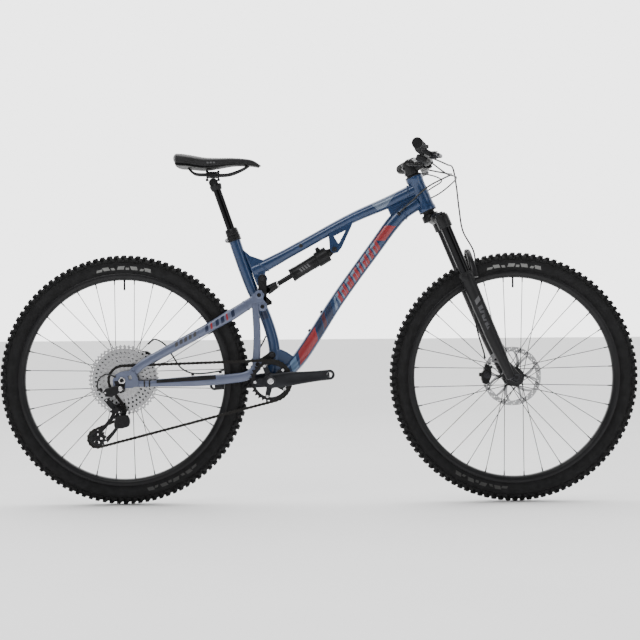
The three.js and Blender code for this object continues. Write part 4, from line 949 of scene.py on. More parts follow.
def shock_shaft():
    fork = Piece()
    tip = (SHOCK_REAR[0] + 30 * SHOCK_AXIS.x, SHOCK_REAR[1] + 30 * SHOCK_AXIS.z)
    for side in (-1, 1):
        fork.prism(link_outline(SHOCK_REAR, tip, 9), *span(side, 17.5, 20))
    fork.rod(at(tip, -20), at(tip, 20), 8, sides=32, chamfer=0.6)
    fork.finish("shock_extender_arms", BLACK_ANODISED, "shock_shaft", "shock_shaft", bevel=0.6)
    Piece().spin(shock_point(0), SHOCK_AXIS, [(0.01, 26), (12.6, 26), (14, 28), (14, 34), (11.4, 60), (9, 62),
                                              (0.01, 62)], 36).finish("shock_extender_head", BLACK_ANODISED,
                                                                      "shock_shaft", bevel=0.5)
    shaft = Piece()
    front = SHOCK_LENGTH - 90
    shaft.spin(shock_point(0), SHOCK_AXIS, [(0.01, 60), (8, 60), (8, front), (13, front), (13, front + 11),
                                            (0.01, front + 11)], 40)
    shaft.finish("shock_piston_rod", STANCHION_BLACK, "shock_shaft")
    Piece().spin(shock_point(0), SHOCK_AXIS, [(8, 61.5), (11, 61.5), (11.4, 62.2), (11.4, 65.8), (11, 66.4),
                                              (8, 66.4)], 40,
                 loop=True).finish("shock_shaft_ring", BRIGHT_STEEL, "shock_shaft", bevel=0.2)


rear_stays()
rear_yoke()
chainstay_guard()
rear_axle()
rear_caliper()
links()
shock_can()
shock_shaft()


# ---- Wheels ----
BODY_OF = {"rear": "rear_wheel", "front": "front_wheel"}
KNOB_ROWS = 108
KNOB_HEIGHT = 6.6


def tyre_section():
    """(radius, y) round the carcass, from the right bead over the crown to the left bead and back inside."""
    outer = []
    bead, shoulder = RIM_OUTER_R - 1.5, WHEEL_R - KNOB_HEIGHT - 0.6
    for i in range(25):
        turn = lerp(math.radians(-122), math.radians(122), i / 24)
        r = RIM_OUTER_R + 24.6 + 24.0 * math.cos(turn)
        outer.append((min(r, shoulder), 28.4 * math.sin(turn)))
    outer[0] = (bead, -15.5)
    outer[-1] = (bead, 15.5)
    inner = [(bead, 12), (RIM_OUTER_R + 20, 23), (WHEEL_R - 12, 14), (WHEEL_R - 12, -14),
             (RIM_OUTER_R + 20, -23), (bead, -12)]
    return outer + inner


def knob(part, centre, angle, y, lean, along, across, height, skew=0.0, base_r=0.0):
    """One tread block: angle round the wheel, y across it, leaning outwards by lean."""
    radial = Vector((math.cos(angle), 0, math.sin(angle)))
    forward = Vector((-math.sin(angle), 0, math.cos(angle)))
    side = Y_AXIS
    out = (radial * math.cos(lean) + side * math.sin(lean)).normalized()
    cross = (side * math.cos(lean) - radial * math.sin(lean)).normalized()
    ahead = (forward * math.cos(skew) + cross * math.sin(skew)).normalized()
    cross = out.cross(ahead).normalized()
    foot = at(centre) + radial * base_r + side * y
    rings = []
    for level, shrink in ((-1.6, 1.16), (0.15, 1.06), (height * 0.86, 1.0), (height, 0.88)):
        rings.append([foot + out * level + ahead * (along / 2 * shrink * i)
                      + cross * (across / 2 * shrink * j) for i, j in ((-1, -1), (1, -1), (1, 1), (-1, 1))])
    part.rings(rings)


def tyre(label, centre):
    body = BODY_OF[label]
    Piece().lathe(centre, tyre_section(), 160).finish(f"{label}_tyre_carcass", TYRE_RUBBER, body,
                                                       f"{label}_tyre", smooth=60)
    tread = Piece()
    step = TURN / KNOB_ROWS
    crown = WHEEL_R - KNOB_HEIGHT - 0.6
    for k in range(KNOB_ROWS):
        here = k * step
        wide = 1.0 if k % 2 else 0.84
        for side in (-1, 1):
            knob(tread, centre, here, side * 5.2, side * 0.08, 11.0 * wide, 8.6, KNOB_HEIGHT, 0.08 * side,
                 crown)
            knob(tread, centre, here + step * 0.1, side * 15.4, side * 0.34, 10.4, 8.4, KNOB_HEIGHT - 0.2,
                 -0.16 * side, crown - 2.2)
            knob(tread, centre, here + step * 0.5, side * 24.4, side * 0.82, 11.6 * wide, 9.4, 6.4,
                 0.05 * side, RIM_OUTER_R + 38.0)
            if k % 2:
                knob(tread, centre, here, side * 26.4, side * 1.05, 8.0, 6.0, 3.6, 0.0,
                     RIM_OUTER_R + 35.0)
    tread.finish(f"{label}_tyre_tread", TYRE_RUBBER, body, smooth=20, weld=False)

    ribs = Piece()
    for side in (-1, 1):
        for r, y in ((RIM_OUTER_R + 3.0, 17.4), (RIM_OUTER_R + 30.5, 27.9)):
            ribs.lathe(centre, [(r - 1.0, side * y), (r, side * (y + 0.9)), (r + 1.0, side * y),
                                (r, side * (y - 1))], 128)
        for k in range(KNOB_ROWS):
            turn = k * step
            radial = Vector((math.cos(turn), 0, math.sin(turn)))
            a = at(centre) + radial * (RIM_OUTER_R + 31) + Vector((0, side * 27.5, 0))
            b = at(centre) + radial * (RIM_OUTER_R + 36) + Vector((0, side * 25.4, 0))
            ribs.rod(a, b, 0.9, sides=5)
    ribs.finish(f"{label}_tyre_ribs", SIDEWALL_RUBBER, body, smooth=60, weld=False)
    sidewall_marks(label, centre, body)


def band(part, centre, side, r0, r1, turn0, turn1, slant=0.0, steps=8):
    """Flat mark moulded on the sidewall, between two radii and two angles."""
    def skin_y(r):
        rise = (r - RIM_OUTER_R - 24.6) / 24.0
        return 28.4 * math.sqrt(max(1 - rise * rise, 0.0)) + 0.25

    rows = []
    for i in range(steps + 1):
        turn = lerp(turn0, turn1, i / steps)
        row = []
        for j in range(5):
            r = lerp(r0, r1, j / 4)
            x, z = polar(centre, r, turn + slant * (j / 4 - 0.5))
            row.append(Vector((x, side * skin_y(r), z)))
        rows.append(row)
    part.sheet(rows)


def sidewall_marks(label, centre, body):
    bright, dull = Piece(), Piece()
    low, high = RIM_OUTER_R + 4, RIM_OUTER_R + 21
    degree = math.radians(1)
    dull_middle = 296 if label == "rear" else 252
    bars = ((-14.4, -11.2, 0.02), (-10.2, -8.4, -0.02), (-7.4, -4.0, 0.02), (-3.0, -1.2, 0.0),
            (-0.2, 3.2, -0.02), (4.2, 6.0, 0.02), (7.0, 10.2, 0.02), (11.2, 14.2, -0.02))
    for side in (-1, 1):
        for middle, part in ((90, bright), (dull_middle, dull)):
            for k, (start, stop, slant) in enumerate(bars):
                band(part, centre, side, low, high if k % 2 == 0 else high - 4, (middle + start) * degree,
                     (middle + stop) * degree, slant)
    bright.finish(f"{label}_sidewall_marks", SIDEWALL_MARK, body, smooth=80)
    dull.finish(f"{label}_sidewall_dull_marks", SIDEWALL_DULL, body, smooth=80)


def rim(label, centre):
    body = BODY_OF[label]
    section = [(318.0, -16.2), (317.4, -13.6), (312, -13.2), (308, -9), (306.5, 0), (308, 9), (312, 13.2),
               (317.4, 13.6), (318.0, 16.2), (316.8, 16.9), (307, 16.6), (302, 14), (298, 8), (297, 0),
               (298, -8), (302, -14), (307, -16.6), (316.8, -16.9)]
    Piece().lathe(centre, section, 160).finish(f"{label}_rim_hoop", BLACK_PAINT, body, f"{label}_rim",
                                               smooth=50)
    valve = Piece()
    turn = math.radians(90)
    tip = Vector((math.cos(turn), 0, math.sin(turn)))
    root = at(centre) + tip * 297.5
    valve.spin(root, -tip, [(0.01, -1), (3.4, -1), (3.4, 2.5), (2.9, 3), (2.9, 18), (3.1, 19), (3.1, 29),
                            (2.2, 30.5), (0.01, 30.5)], 16)
    valve.finish(f"{label}_valve", BLACK_ANODISED, body, bevel=0.1)


def spokes(label, centre, flanges):
    body = BODY_OF[label]
    wires, nipples = Piece(), Piece()
    for i in range(SPOKES):
        left = i % 2
        heads_out = i % 4 < 2
        turn = TURN * (i + 0.5) / SPOKES
        lean = (1 if heads_out else -1) * 1.15
        flange = flanges[1] if left else flanges[0]
        depth = (1 if left else -1) * (1.9 if heads_out else -1.9)
        hub_end = at(polar(centre, 25, turn + lean), flange + depth)
        rim_end = at(polar(centre, RIM_INNER_R + 2, turn), 4 if left else -4)
        wires.rod(hub_end, hub_end.lerp(rim_end, 0.12), 1.25, 1.1, sides=8)
        wires.rod(hub_end.lerp(rim_end, 0.12), rim_end, 1.1, 1.1, sides=8)
        elbow = at(polar(centre, 25, turn + lean), flange - depth * 0.9)
        wires.rod(elbow, hub_end, 1.1, sides=8)
        wires.rod(elbow + Vector((0, -0.5, 0)), elbow + Vector((0, 0.5, 0)), 1.9, sides=10)
        back = rim_end.lerp(hub_end, 14 / (rim_end - hub_end).length)
        nipples.rod(rim_end, back, 2.1, 1.7, sides=8, chamfer=0.3)
    wires.finish(f"{label}_spokes", BLACK_PAINT, body, smooth=60, weld=False)
    nipples.finish(f"{label}_spoke_nipples", BLACK_ANODISED, body, smooth=50, weld=False)


def hub(label, centre, flanges, ends):
    body = BODY_OF[label]
    right, left = flanges
    profile = [(8.2, ends[0]), (11.5, ends[0]), (12.5, ends[0] + 1), (12.8, right - 6), (20, right - 3.6),
               (27, right - 2.4), (28.6, right - 1.6), (28.6, right + 1.6), (27, right + 2.4),
               (17, right + 5), (14.2, right + 9), (13.6, (right + left) / 2), (14.2, left - 9),
               (17, left - 5), (27, left - 2.4), (28.6, left - 1.6), (28.6, left + 1.6), (27, left + 2.4),
               (22, left + 4), (22, left + 8), (19, ends[1] - 6), (15, ends[1] - 5), (14, ends[1]),
               (8.2, ends[1])]
    Piece().lathe(centre, profile, 64).finish(f"{label}_hub_shell", BLACK_ANODISED, body,
                                              f"{label}_hub_and_spokes", bevel=0.3)
    spokes(label, centre, flanges)
    rings = Piece()
    for y in (right + 12, left - 12):
        rings.lathe(centre, [(14.2, y - 1.2), (14.8, y - 0.8), (14.8, y + 0.8), (14.2, y + 1.2), (13, y)], 48)
    rings.finish(f"{label}_hub_rings", GREY_ANODISED, body)


def rotor(label, centre, y):
    """Perforated steel disc on a steel carrier, with six black bolts."""
    body = BODY_OF[label]
    half = 0.9
    disc = Piece()
    outer = [polar(centre, ROTOR_R - 0.8 - 0.9 * (1 + math.cos(12 * TURN * i / 144)) / 2,
                   TURN * i / 144) for i in range(144)]
    inner = [polar(centre, ROTOR_R - 16.4 + 0.9 * math.cos(12 * TURN * i / 96), TURN * i / 96)
             for i in range(96)]
    holes = [inner]
    for k in range(24):
        turn = TURN * k / 24
        holes.append(circle(polar(centre, ROTOR_R - 4.6, turn), 1.7, 8))
        holes.append(circle(polar(centre, ROTOR_R - 8.6, turn + 0.075), 2.1, 8))
        holes.append(circle(polar(centre, ROTOR_R - 12.8, turn + 0.15), 1.7, 8))
    disc.prism(outer, y - half, y + half, holes)
    for k in range(6):
        turn = k * math.pi / 3
        for sweep, width in ((0.42, 0.05), (-0.14, 0.04)):
            spine = [polar(centre, lerp(27, ROTOR_R - 15, i / 8), lerp(turn, turn + sweep, (i / 8) ** 1.4))
                     for i in range(9)]
            edges = [[polar(centre, math.dist(p, centre), math.atan2(p[1] - centre[1], p[0] - centre[0])
                            + hand * width * lerp(2.6, 1, i / 8)) for i, p in enumerate(spine)]
                     for hand in (1, -1)]
            disc.prism(edges[0] + edges[1][::-1], y - half, y + half)
    disc.lathe(centre, [(21, y - half), (31, y - half), (31, y + half), (21, y + half)], 64)
    disc.finish(f"{label}_rotor_disc", BRUSHED_STEEL, body, f"{label}_brake_rotor", smooth=30)
    bolts = Piece()
    for k in range(6):
        bolts.bolt(polar(centre, 26, k * math.pi / 3 + 0.3), y + half, 1, 3.6, 2.2)
    bolts.finish(f"{label}_rotor_bolts", BLACK_ANODISED, body, bevel=0.2)


for label, centre, flanges, ends, disc_y in (("rear", REAR, (-22, 34), (-68, 66), 51),
                                             ("front", FRONT, (-30, 24), (-48, 50.5), 39)):
    tyre(label, centre)
    rim(label, centre)
    hub(label, centre, flanges, ends)
    rotor(label, centre, disc_y)


# ---- Drivetrain ----
def toothed(centre, teeth, tip=1.9, root=-3.4, wide=0.26):
    """Sprocket outline: a flat-topped tooth and a round-bottomed gap for each roller."""
    r = tooth_radius(teeth)
    points = []
    for k in range(teeth):
        base = TURN * k / teeth
        pitch_turn = TURN / teeth
        for place, height in ((0.0, root), (0.14, root * 0.86), (0.30, root * 0.15), (0.5 - wide / 3, tip),
                              (0.5 + wide / 3, tip), (0.70, root * 0.15), (0.86, root * 0.86)):
            points.append(polar(centre, r + height, base + place * pitch_turn))
    return points


def cog_y(index):
    """Y of a sprocket, counted from the largest."""
    return CHAIN_Y - (index - COGS.index(DRIVE_TEETH)) * COG_SPACING


def cassette():
    cogs = Piece()
    for index, teeth in enumerate(COGS):
        r = tooth_radius(teeth)
        y = cog_y(index)
        inner_r = 17.2 if teeth < 20 else max(tooth_radius(COGS[min(index + 2, 10)]) - 9.0, 20)
        holes = [circle(REAR, inner_r, 48)]
        if teeth >= 21:
            edge, inside = r - 7.4, inner_r + 4.6
            count = 3 if edge - inside > 22 else 2 if edge - inside > 12 else 1
            for row in range(count):
                radius = lerp(edge, inside, (row + 0.1) / count) if count > 1 else (edge + inside) / 2
                number = max(int(TURN * radius / 12.5), 8)
                for k in range(number):
                    turn = TURN * (k + 0.5 * (row % 2)) / number + 0.13 * index
                    holes.append(circle(polar(REAR, radius, turn), 3.5 if row < 2 else 3.0, 9))
        cogs.prism(toothed(REAR, teeth), y - 0.9, y + 0.9, holes)
    cogs.finish("cassette_cogs", COG_STEEL, "cassette", "cassette", smooth=30)
    core = Piece()
    core.lathe(REAR, [(14.0, cog_y(0) + 1.5), (34, cog_y(0) + 1.2), (36, cog_y(1)), (28, cog_y(3)),
                      (24, cog_y(5)), (18.6, cog_y(7)), (17.6, cog_y(10) - 0.8), (14.0, cog_y(10) - 0.8)], 64)
    for k in range(5):
        turn = TURN * k / 5 + 0.3
        for low, high, y in ((30, 78, cog_y(0) + 0.2), (26, 62, cog_y(2) - 0.6)):
            a, b = at(polar(REAR, low, turn), y), at(polar(REAR, high, turn + 0.35), y)
            core.rod(a, b, 2.1, 1.6, sides=8)
    for index in range(7):
        web_r = tooth_radius(COGS[index]) - 9.5
        core.lathe(REAR, [(14.5, cog_y(index) + 1.0), (web_r, cog_y(index) + 1.0),
                          (web_r, cog_y(index) + 1.5), (14.5, cog_y(index) + 1.5)], 64)
    core.finish("cassette_carrier", BLACK_ANODISED, "cassette")
    ring = Piece()
    outline = [polar(REAR, 17.2 + (0.9 if k % 2 else 0), TURN * k / 40) for k in range(40)]
    ring.prism(outline, cog_y(10) - 3.2, cog_y(10) - 1.0, [circle(REAR, 13.9, 32)])
    ring.finish("cassette_lockring", GREY_ANODISED, "cassette", bevel=0.2)


def chainring():
    ring = Piece()
    ring_r = tooth_radius(RING_TEETH)
    ring.prism(toothed(BB, RING_TEETH, 2.9, -3.4, 0.30), CHAIN_Y - 1, CHAIN_Y + 1,
               [circle(BB, ring_r - 12.5, 72)])
    ring.finish("chainring_teeth", BLACK_ANODISED, "crankset", "chainring", bevel=0.15, segments=1, smooth=30)
    arms = Piece()
    for i in range(5):
        turn = CRANK_RISE + 0.62 + i * TURN / 5
        left = [polar(BB, lerp(18, ring_r - 9, t), turn + lerp(0.50, 0.105, t ** 0.55))
                for t in (0, .2, .4, .6, .8, 1)]
        right = [polar(BB, lerp(18, ring_r - 9, t), turn - lerp(0.50, 0.105, t ** 0.55))
                 for t in (1, .8, .6, .4, .2, 0)]
        arms.prism(left + right, CHAIN_Y - 2.4, CHAIN_Y + 1.4)
    arms.lathe(BB, [(15.6, CHAIN_Y - 2.6), (23.5, CHAIN_Y - 2.6), (23.5, CHAIN_Y + 2), (15.6, CHAIN_Y + 2)],
               64)
    arms.finish("chainring_arms", FORGED_GREY, "crankset", bevel=0.6, segments=3)
    bolts = Piece()
    for i in range(5):
        turn = CRANK_RISE + 0.62 + i * TURN / 5
        bolts.bolt(polar(BB, ring_r - 13.4, turn), CHAIN_Y - 1.8, -1, 4.6, 1.8)
        bolts.bolt(polar(BB, ring_r - 13.4, turn), CHAIN_Y + 1.0, 1, 4.6, 1.4)
    bolts.finish("chainring_bolts", BRIGHT_STEEL, "crankset", bevel=0.2)


def crank_arm(sign, y_boss, y_pedal, name, *nodes):
    """Tapered arm with a shallow channel on its outer face."""
    side = math.copysign(1, y_boss)
    along = Vector((math.cos(CRANK_RISE) * sign, 0, math.sin(CRANK_RISE) * sign))
    up = Vector((0, side, 0)).cross(along)
    stations = [(0, 21.0, 9.0), (20, 22, 8.5), (45, 21, 7.6), (66, 20, 6.9), (100, 17.5, 6.4),
                (140, 15.5, 6.2), (160, 15.2, 6.3), (175, 15.2, 6.5)]
    rings = []
    for r, half, thick in stations:
        y = lerp(y_boss + side * 8, y_pedal, min(r / CRANK, 1.0) ** 1.15)
        centre = at(BB, y) + along * r
        ring = []
        for j in range(28):
            angle = TURN * j / 28
            c, s = math.cos(angle), math.sin(angle)
            across, deep = signed_power(c, 0.62) * half, signed_power(s, 0.62) * thick
            if s > 0.55 and 20 < r < 165:
                deep -= 1.8 * math.cos(min(abs(c) * 2.2, 1.5))
            ring.append(centre + up * across + Vector((0, side, 0)) * deep)
        rings.append(ring)
    arm = Piece().rings(rings)
    arm.finish(f"{name}_arm", FORGED_GREY, "crankset", *nodes, smooth=50)
    ends = Piece()
    end = (BB[0] + along.x * CRANK, BB[1] + along.z * CRANK)
    low, high = sorted((y_pedal - 6.5, y_pedal + 6.5))
    ends.lathe(end, [(7.0, low), (14.2, low), (15.2, low + 1.2), (15.2, high - 1.2), (14.2, high),
                     (7.0, high)], 48)
    ends.lathe(BB, [(12.4, y_boss), (19.4, y_boss), (20.4, y_boss + side), (20.4, y_boss + side * 12),
                    (19.2, y_boss + side * 13.4), (12.4, y_boss + side * 13.4)], 64)
    ends.finish(f"{name}_ends", FORGED_GREY, "crankset", bevel=0.3)
    Piece().lathe(end, [(6.9, low + 0.4), (8.6, low - 0.1), (8.6, high + 0.1), (6.9, high - 0.4)],
                  40).finish(f"{name}_pedal_thread", BRIGHT_STEEL, "crankset")


def cranks():
    crank_arm(1, -59, -77, "crank_right", "crank_right")
    crank_arm(-1, 56, 74, "crank_left", "crank_left")
    Piece().rod(at(BB, -66), at(BB, 64), 12, sides=40).finish("crank_spindle", BRUSHED_STEEL, "crankset")
    caps = Piece()
    for side, y in ((-1, -75.6), (1, 72.6)):
        caps.spin(at(BB, y), (0, side, 0), [(9.4, 0), (14.6, 0), (15, 0.5), (14.4, 1.6), (9.8, 1.6)], 48,
                  loop=True)
    caps.finish("crank_cap_rings", GREY_ANODISED, "crankset", bevel=0.2)
    Piece().spin(at(BB, -75.8), (0, -1, 0), [(9.4, 0), (9.4, 1.2), (6.4, 1.6), (5.6, 0.4), (0.01, 0.4)],
                 40).finish("crank_preload_cap", BRIGHT_STEEL, "crankset", bevel=0.2)
    Piece().spin(at(BB, 72.8), Y_AXIS, [(9.4, 0), (9.4, 1.2), (6.4, 1.6), (5.6, 0.4), (0.01, 0.4)],
                 40).finish("crank_left_cap", BLACK_ANODISED, "crankset", bevel=0.2)


# Chain loop: wraps are (centre, radius, sense) in running order
WRAPS = [(BB, tooth_radius(RING_TEETH), 1), (REAR, tooth_radius(DRIVE_TEETH), 1),
         (GUIDE, tooth_radius(GUIDE_TEETH), -1), (TENSION, tooth_radius(TENSION_TEETH), 1)]


def run_direction(a, b):
    (c1, r1, s1), (c2, r2, s2) = a, b
    dx, dz = c2[0] - c1[0], c2[1] - c1[1]
    return math.atan2(dz, dx) + math.asin((s1 * r1 - s2 * r2) / math.hypot(dx, dz))


def chain_line():
    runs = [run_direction(w, WRAPS[(i + 1) % 4]) for i, w in enumerate(WRAPS)]
    points = []
    for i, (centre, r, sense) in enumerate(WRAPS):
        arrive = runs[(i + 3) % 4] - sense * math.pi / 2
        leave = runs[i] - sense * math.pi / 2
        turn = math.fmod(leave - arrive, TURN)
        if turn * sense < 0:
            turn += sense * TURN
        for k in range(61):
            points.append(polar(centre, r, arrive + turn * k / 60))
    return points


def chain():
    line = chain_line()
    lengths = [0.0]
    for a, b in zip(line, line[1:] + line[:1]):
        lengths.append(lengths[-1] + math.dist(a, b))
    closed_line = line + line[:1]
    count = 2 * round(lengths[-1] / PITCH / 2)

    def place(s):
        s = s % lengths[-1]
        low, high = 0, len(lengths) - 1
        while high - low > 1:
            mid = (low + high) // 2
            low, high = (mid, high) if lengths[mid] <= s else (low, mid)
        t = (s - lengths[low]) / max(lengths[low + 1] - lengths[low], 1e-9)
        a, b = closed_line[low], closed_line[low + 1]
        return (lerp(a[0], b[0], t), lerp(a[1], b[1], t))

    pins = [place(lengths[-1] * k / count) for k in range(count)]
    plates, rollers = Piece(), Piece()
    for k, (a, b) in enumerate(zip(pins, pins[1:] + pins[:1])):
        outer = k % 2
        turn = math.atan2(b[1] - a[1], b[0] - a[0])
        middle = ((a[0] + b[0]) / 2, (a[1] + b[1]) / 2)
        waist = [polar(middle, 3.5, turn + math.pi / 2), polar(middle, 3.5, turn - math.pi / 2)]
        outline = (arc(a, 4.6, turn + math.radians(60), turn + math.radians(300), 8) + [waist[1]]
                   + arc(b, 4.6, turn - math.radians(120), turn + math.radians(120), 8) + [waist[0]])
        for side in (-1, 1):
            y = side * (2.55 if outer else 1.65)
            plates.prism(outline, CHAIN_Y + y - 0.42, CHAIN_Y + y + 0.42)
        rollers.rod(at(a, CHAIN_Y - 3.15), at(a, CHAIN_Y + 3.15), 1.75, sides=10)
        rollers.rod(at(a, CHAIN_Y - 1.15), at(a, CHAIN_Y + 1.15), 3.8, sides=14)
    for part, name, nodes in ((plates, "chain_plates", ("chain",)), (rollers, "chain_rollers", ())):
        obj = part.finish(name, CHAIN_STEEL, "", *nodes, smooth=35, weld=False, place=False)
        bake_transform(obj)


# ---- Rear derailleur ----
HANGER_BOLT = (-586, 349)
CAGE_PIVOT = (-584, 262)
PLATE_OUT, PLATE_IN = 5.4, 3.8


def derailleur_body():
    Piece().prism([(-606, 372), (-600, 352), (-596, 340), (-586, 335), (-576, 340), (-574, 352), (-572, 372)],
                  -83.4, -76, [circle(HANGER_BOLT, 5, 20)]).finish("derailleur_hanger", BLACK_ANODISED,
                                                                   "rear_triangle", bevel=0.8)
    Piece().prism([(-590, 359), (-604, 357), (-628, 350), (-635, 343), (-634, 336), (-628, 327), (-612, 326),
                   (-598, 332), (-588, 338)], -104, -88).finish("derailleur_b_knuckle", BLACK_ANODISED,
                                                                "rear_triangle", "derailleur_body", bevel=3.0,
                                                                segments=4)
    Piece().rod(at(HANGER_BOLT, -100), at(HANGER_BOLT, -84), 10, sides=40,
                chamfer=0.8).finish("derailleur_pivot_barrel", BLACK_ANODISED, "rear_triangle")
    head = Piece()
    head.bolt(HANGER_BOLT, -99.8, -1, 7.4, 3.0)
    head.bolt((-629, 338), -103.8, -1, 2.8, 1.2)
    head.finish("derailleur_bolts", BRIGHT_STEEL, "rear_triangle", bevel=0.2)
    Piece().rod((-639, -96, 343), (-646, -96, 352), 4.0, 3.2, sides=16,
                chamfer=0.5).finish("derailleur_cable_barrel", BLACK_ANODISED, "rear_triangle")


def derailleur_links():
    outline = [(-634, 317), (-629, 321), (-622, 321.5), (-611, 311), (-600, 300), (-590, 291), (-582, 283),
               (-583, 277), (-588, 275.5), (-606, 284), (-620, 299)]
    bars = Piece()
    bars.prism(outline, -104, -99.6)
    bars.prism(outline, -92, -88)
    bars.box((-603, -96, 295), (7, 16, 7))
    bars.finish("derailleur_link_bars", BLACK_ANODISED, "derailleur_links", "derailleur_links", bevel=0.9,
                segments=3)
    pins = Piece()
    pins.bolt((-626, 316.5), -103.8, -1, 2.6, 1.0)
    pins.bolt((-588.5, 280.5), -103.8, -1, 2.6, 1.0)
    pins.finish("derailleur_link_pins", BRIGHT_STEEL, "derailleur_links")


def derailleur_knuckle():
    Piece().prism([(-600, 266), (-590, 270), (-580, 272), (-564, 272), (-558, 260), (-558, 248), (-562, 238),
                   (-580, 233), (-600, 232), (-605, 241), (-604, 250)], -104,
                  -84).finish("derailleur_p_knuckle", BLACK_ANODISED, "derailleur_knuckle",
                              "derailleur_knuckle", bevel=3.4, segments=4)
    Piece().rod(at(CAGE_PIVOT, -85), at(CAGE_PIVOT, CHAIN_Y - 6), 11, sides=40,
                chamfer=0.8).finish("derailleur_cage_barrel", BLACK_ANODISED, "derailleur_knuckle")
    Piece().bolt((-581, 252), -103.8, -1, 8.5, 1.4, socket=False).finish("derailleur_knuckle_lid",
                                                                         BLACK_ANODISED, "derailleur_knuckle",
                                                                         bevel=0.3)


def derailleur_cage():
    cage_outline = [(-612, 284), (-610, 292), (-603, 297), (-594, 298), (-584, 294), (-577, 284), (-574, 270),
                    (-578, 254), (-592, 236), (-612, 210), (-630, 188), (-640, 179), (-652, 175), (-664, 177),
                    (-673, 186), (-676, 198), (-671, 212), (-656, 226), (-640, 240), (-622, 262)]
    window = [(-646, 218), (-628, 238), (-606, 264), (-594, 254), (-598, 244), (-618, 219), (-634, 203)]
    ports = [circle(polar(TENSION, 12.5, TURN * k / 6 + 0.5), 3.9, 14) for k in range(6)]
    ports += [circle(polar(GUIDE, 10.5, TURN * k / 5 + 0.3), 2.6, 12) for k in range(5)]
    plates = Piece()
    for low, high in ((CHAIN_Y - PLATE_OUT, CHAIN_Y - PLATE_IN), (CHAIN_Y + PLATE_IN, CHAIN_Y + PLATE_OUT)):
        plates.prism(cage_outline, low, high, [window] + ports)
    for centre in (GUIDE, TENSION):
        plates.rod(at(centre, CHAIN_Y - PLATE_OUT), at(centre, CHAIN_Y + PLATE_OUT), 3, sides=20)
    plates.finish("derailleur_cage_plates", BLACK_ANODISED, "derailleur_cage", "derailleur_cage", bevel=0.4)
    bolts = Piece()
    for centre in (GUIDE, TENSION):
        bolts.bolt(centre, CHAIN_Y - 5.3, -1, 4.4, 1.6)
        bolts.bolt(centre, CHAIN_Y + 5.3, 1, 4.4, 1.4)
    bolts.finish("derailleur_pulley_bolts", BLACK_ANODISED, "derailleur_cage", bevel=0.2)


def pulleys():
    for centre, teeth, name in ((GUIDE, GUIDE_TEETH, "pulley_upper"),
                                (TENSION, TENSION_TEETH, "pulley_lower")):
        wheel = Piece()
        holes = [circle(centre, 3.5, 20)] + [circle(polar(centre, 12, TURN * k / 5), 3.4, 12)
                                             for k in range(5)]
        wheel.prism(toothed(centre, teeth, 2.2, -3.4, 0.24), CHAIN_Y - 1.1, CHAIN_Y + 1.1, holes)
        wheel.lathe(centre, [(3.5, CHAIN_Y - 2.8), (7, CHAIN_Y - 2.8), (7, CHAIN_Y + 2.8),
                             (3.5, CHAIN_Y + 2.8)], 32)
        wheel.finish(f"{name}_wheel", MOULDED_PLASTIC, name, name, bevel=0.2, segments=1)


cassette()
chainring()
cranks()
chain()
derailleur_body()
derailleur_links()
derailleur_knuckle()
derailleur_cage()
pulleys()


# ---- Fork ----
LEG_Y = 65
AXLE_ALONG = (at(FRONT) - HEAD_LOW).dot(HEAD_AXIS)
AXLE_FORWARD = (at(FRONT) - HEAD_LOW).dot(HEAD_FORWARD)
LEG_FORWARD = AXLE_FORWARD - 18
CROWN_ALONG = -38
LOWERS_TOP = AXLE_ALONG + 337
ARCH_ALONG = AXLE_ALONG + 362


def fork_crown():
    part = Piece()
    for side in (-1, 1):
        part.spin(head_point(CROWN_ALONG - 32, side * LEG_Y, LEG_FORWARD), HEAD_AXIS,
                  [(16.4, 0), (20.2, 0), (21, 1), (21, 28), (20, 37), (19, 40), (16.4, 40)], 48, loop=True)
    part.finish("fork_crown_sockets", BLACK_PAINT, "fork_upper", "fork_crown", bevel=0.4)
    Piece().skin(Tube([head_point(CROWN_ALONG, -LEG_Y + 4, LEG_FORWARD - 2),
                       head_point(CROWN_ALONG + 8, -32, LEG_FORWARD - 14),
                       head_point(CROWN_ALONG + 10, 0, LEG_FORWARD - 19),
                       head_point(CROWN_ALONG + 8, 32, LEG_FORWARD - 14),
                       head_point(CROWN_ALONG, LEG_Y - 4, LEG_FORWARD - 2)], [15, 17, 18, 17, 15],
                      [16, 15, 15, 15, 16], 40), 28).finish("fork_crown_beam", BLACK_PAINT, "fork_upper")
    Piece().spin(head_point(CROWN_ALONG), HEAD_AXIS, [(0.01, 0), (26, 6), (26, 24), (24.5, 26), (18, 28),
                                                      (16, 60), (14.3, 110), (14.3, 178), (0.01, 178)],
                 48).finish("fork_steerer", BLACK_ANODISED, "fork_upper")
    caps = Piece()
    for side in (-1, 1):
        top = head_point(CROWN_ALONG + 10, side * LEG_Y, LEG_FORWARD)
        caps.spin(top, HEAD_AXIS, [(0.01, 0), (15.6, 0), (15.6, 2.4), (13, 4), (9, 4.4), (8.6, 8), (0.01, 8)],
                  32)
    caps.finish("fork_top_caps", GREY_ANODISED, "fork_upper", bevel=0.2)
    for side, label in SIDES:
        Piece().spin(head_point(0, side * LEG_Y, LEG_FORWARD), HEAD_AXIS,
                     [(13, AXLE_ALONG + 300), (16, AXLE_ALONG + 301), (16, CROWN_ALONG + 11.6),
                      (13, CROWN_ALONG + 12)], 56, loop=True).finish(f"fork_stanchion_{label}",
                                                                     STANCHION_BLACK, "fork_upper",
                                                                     f"stanchion_{label}", smooth=60)


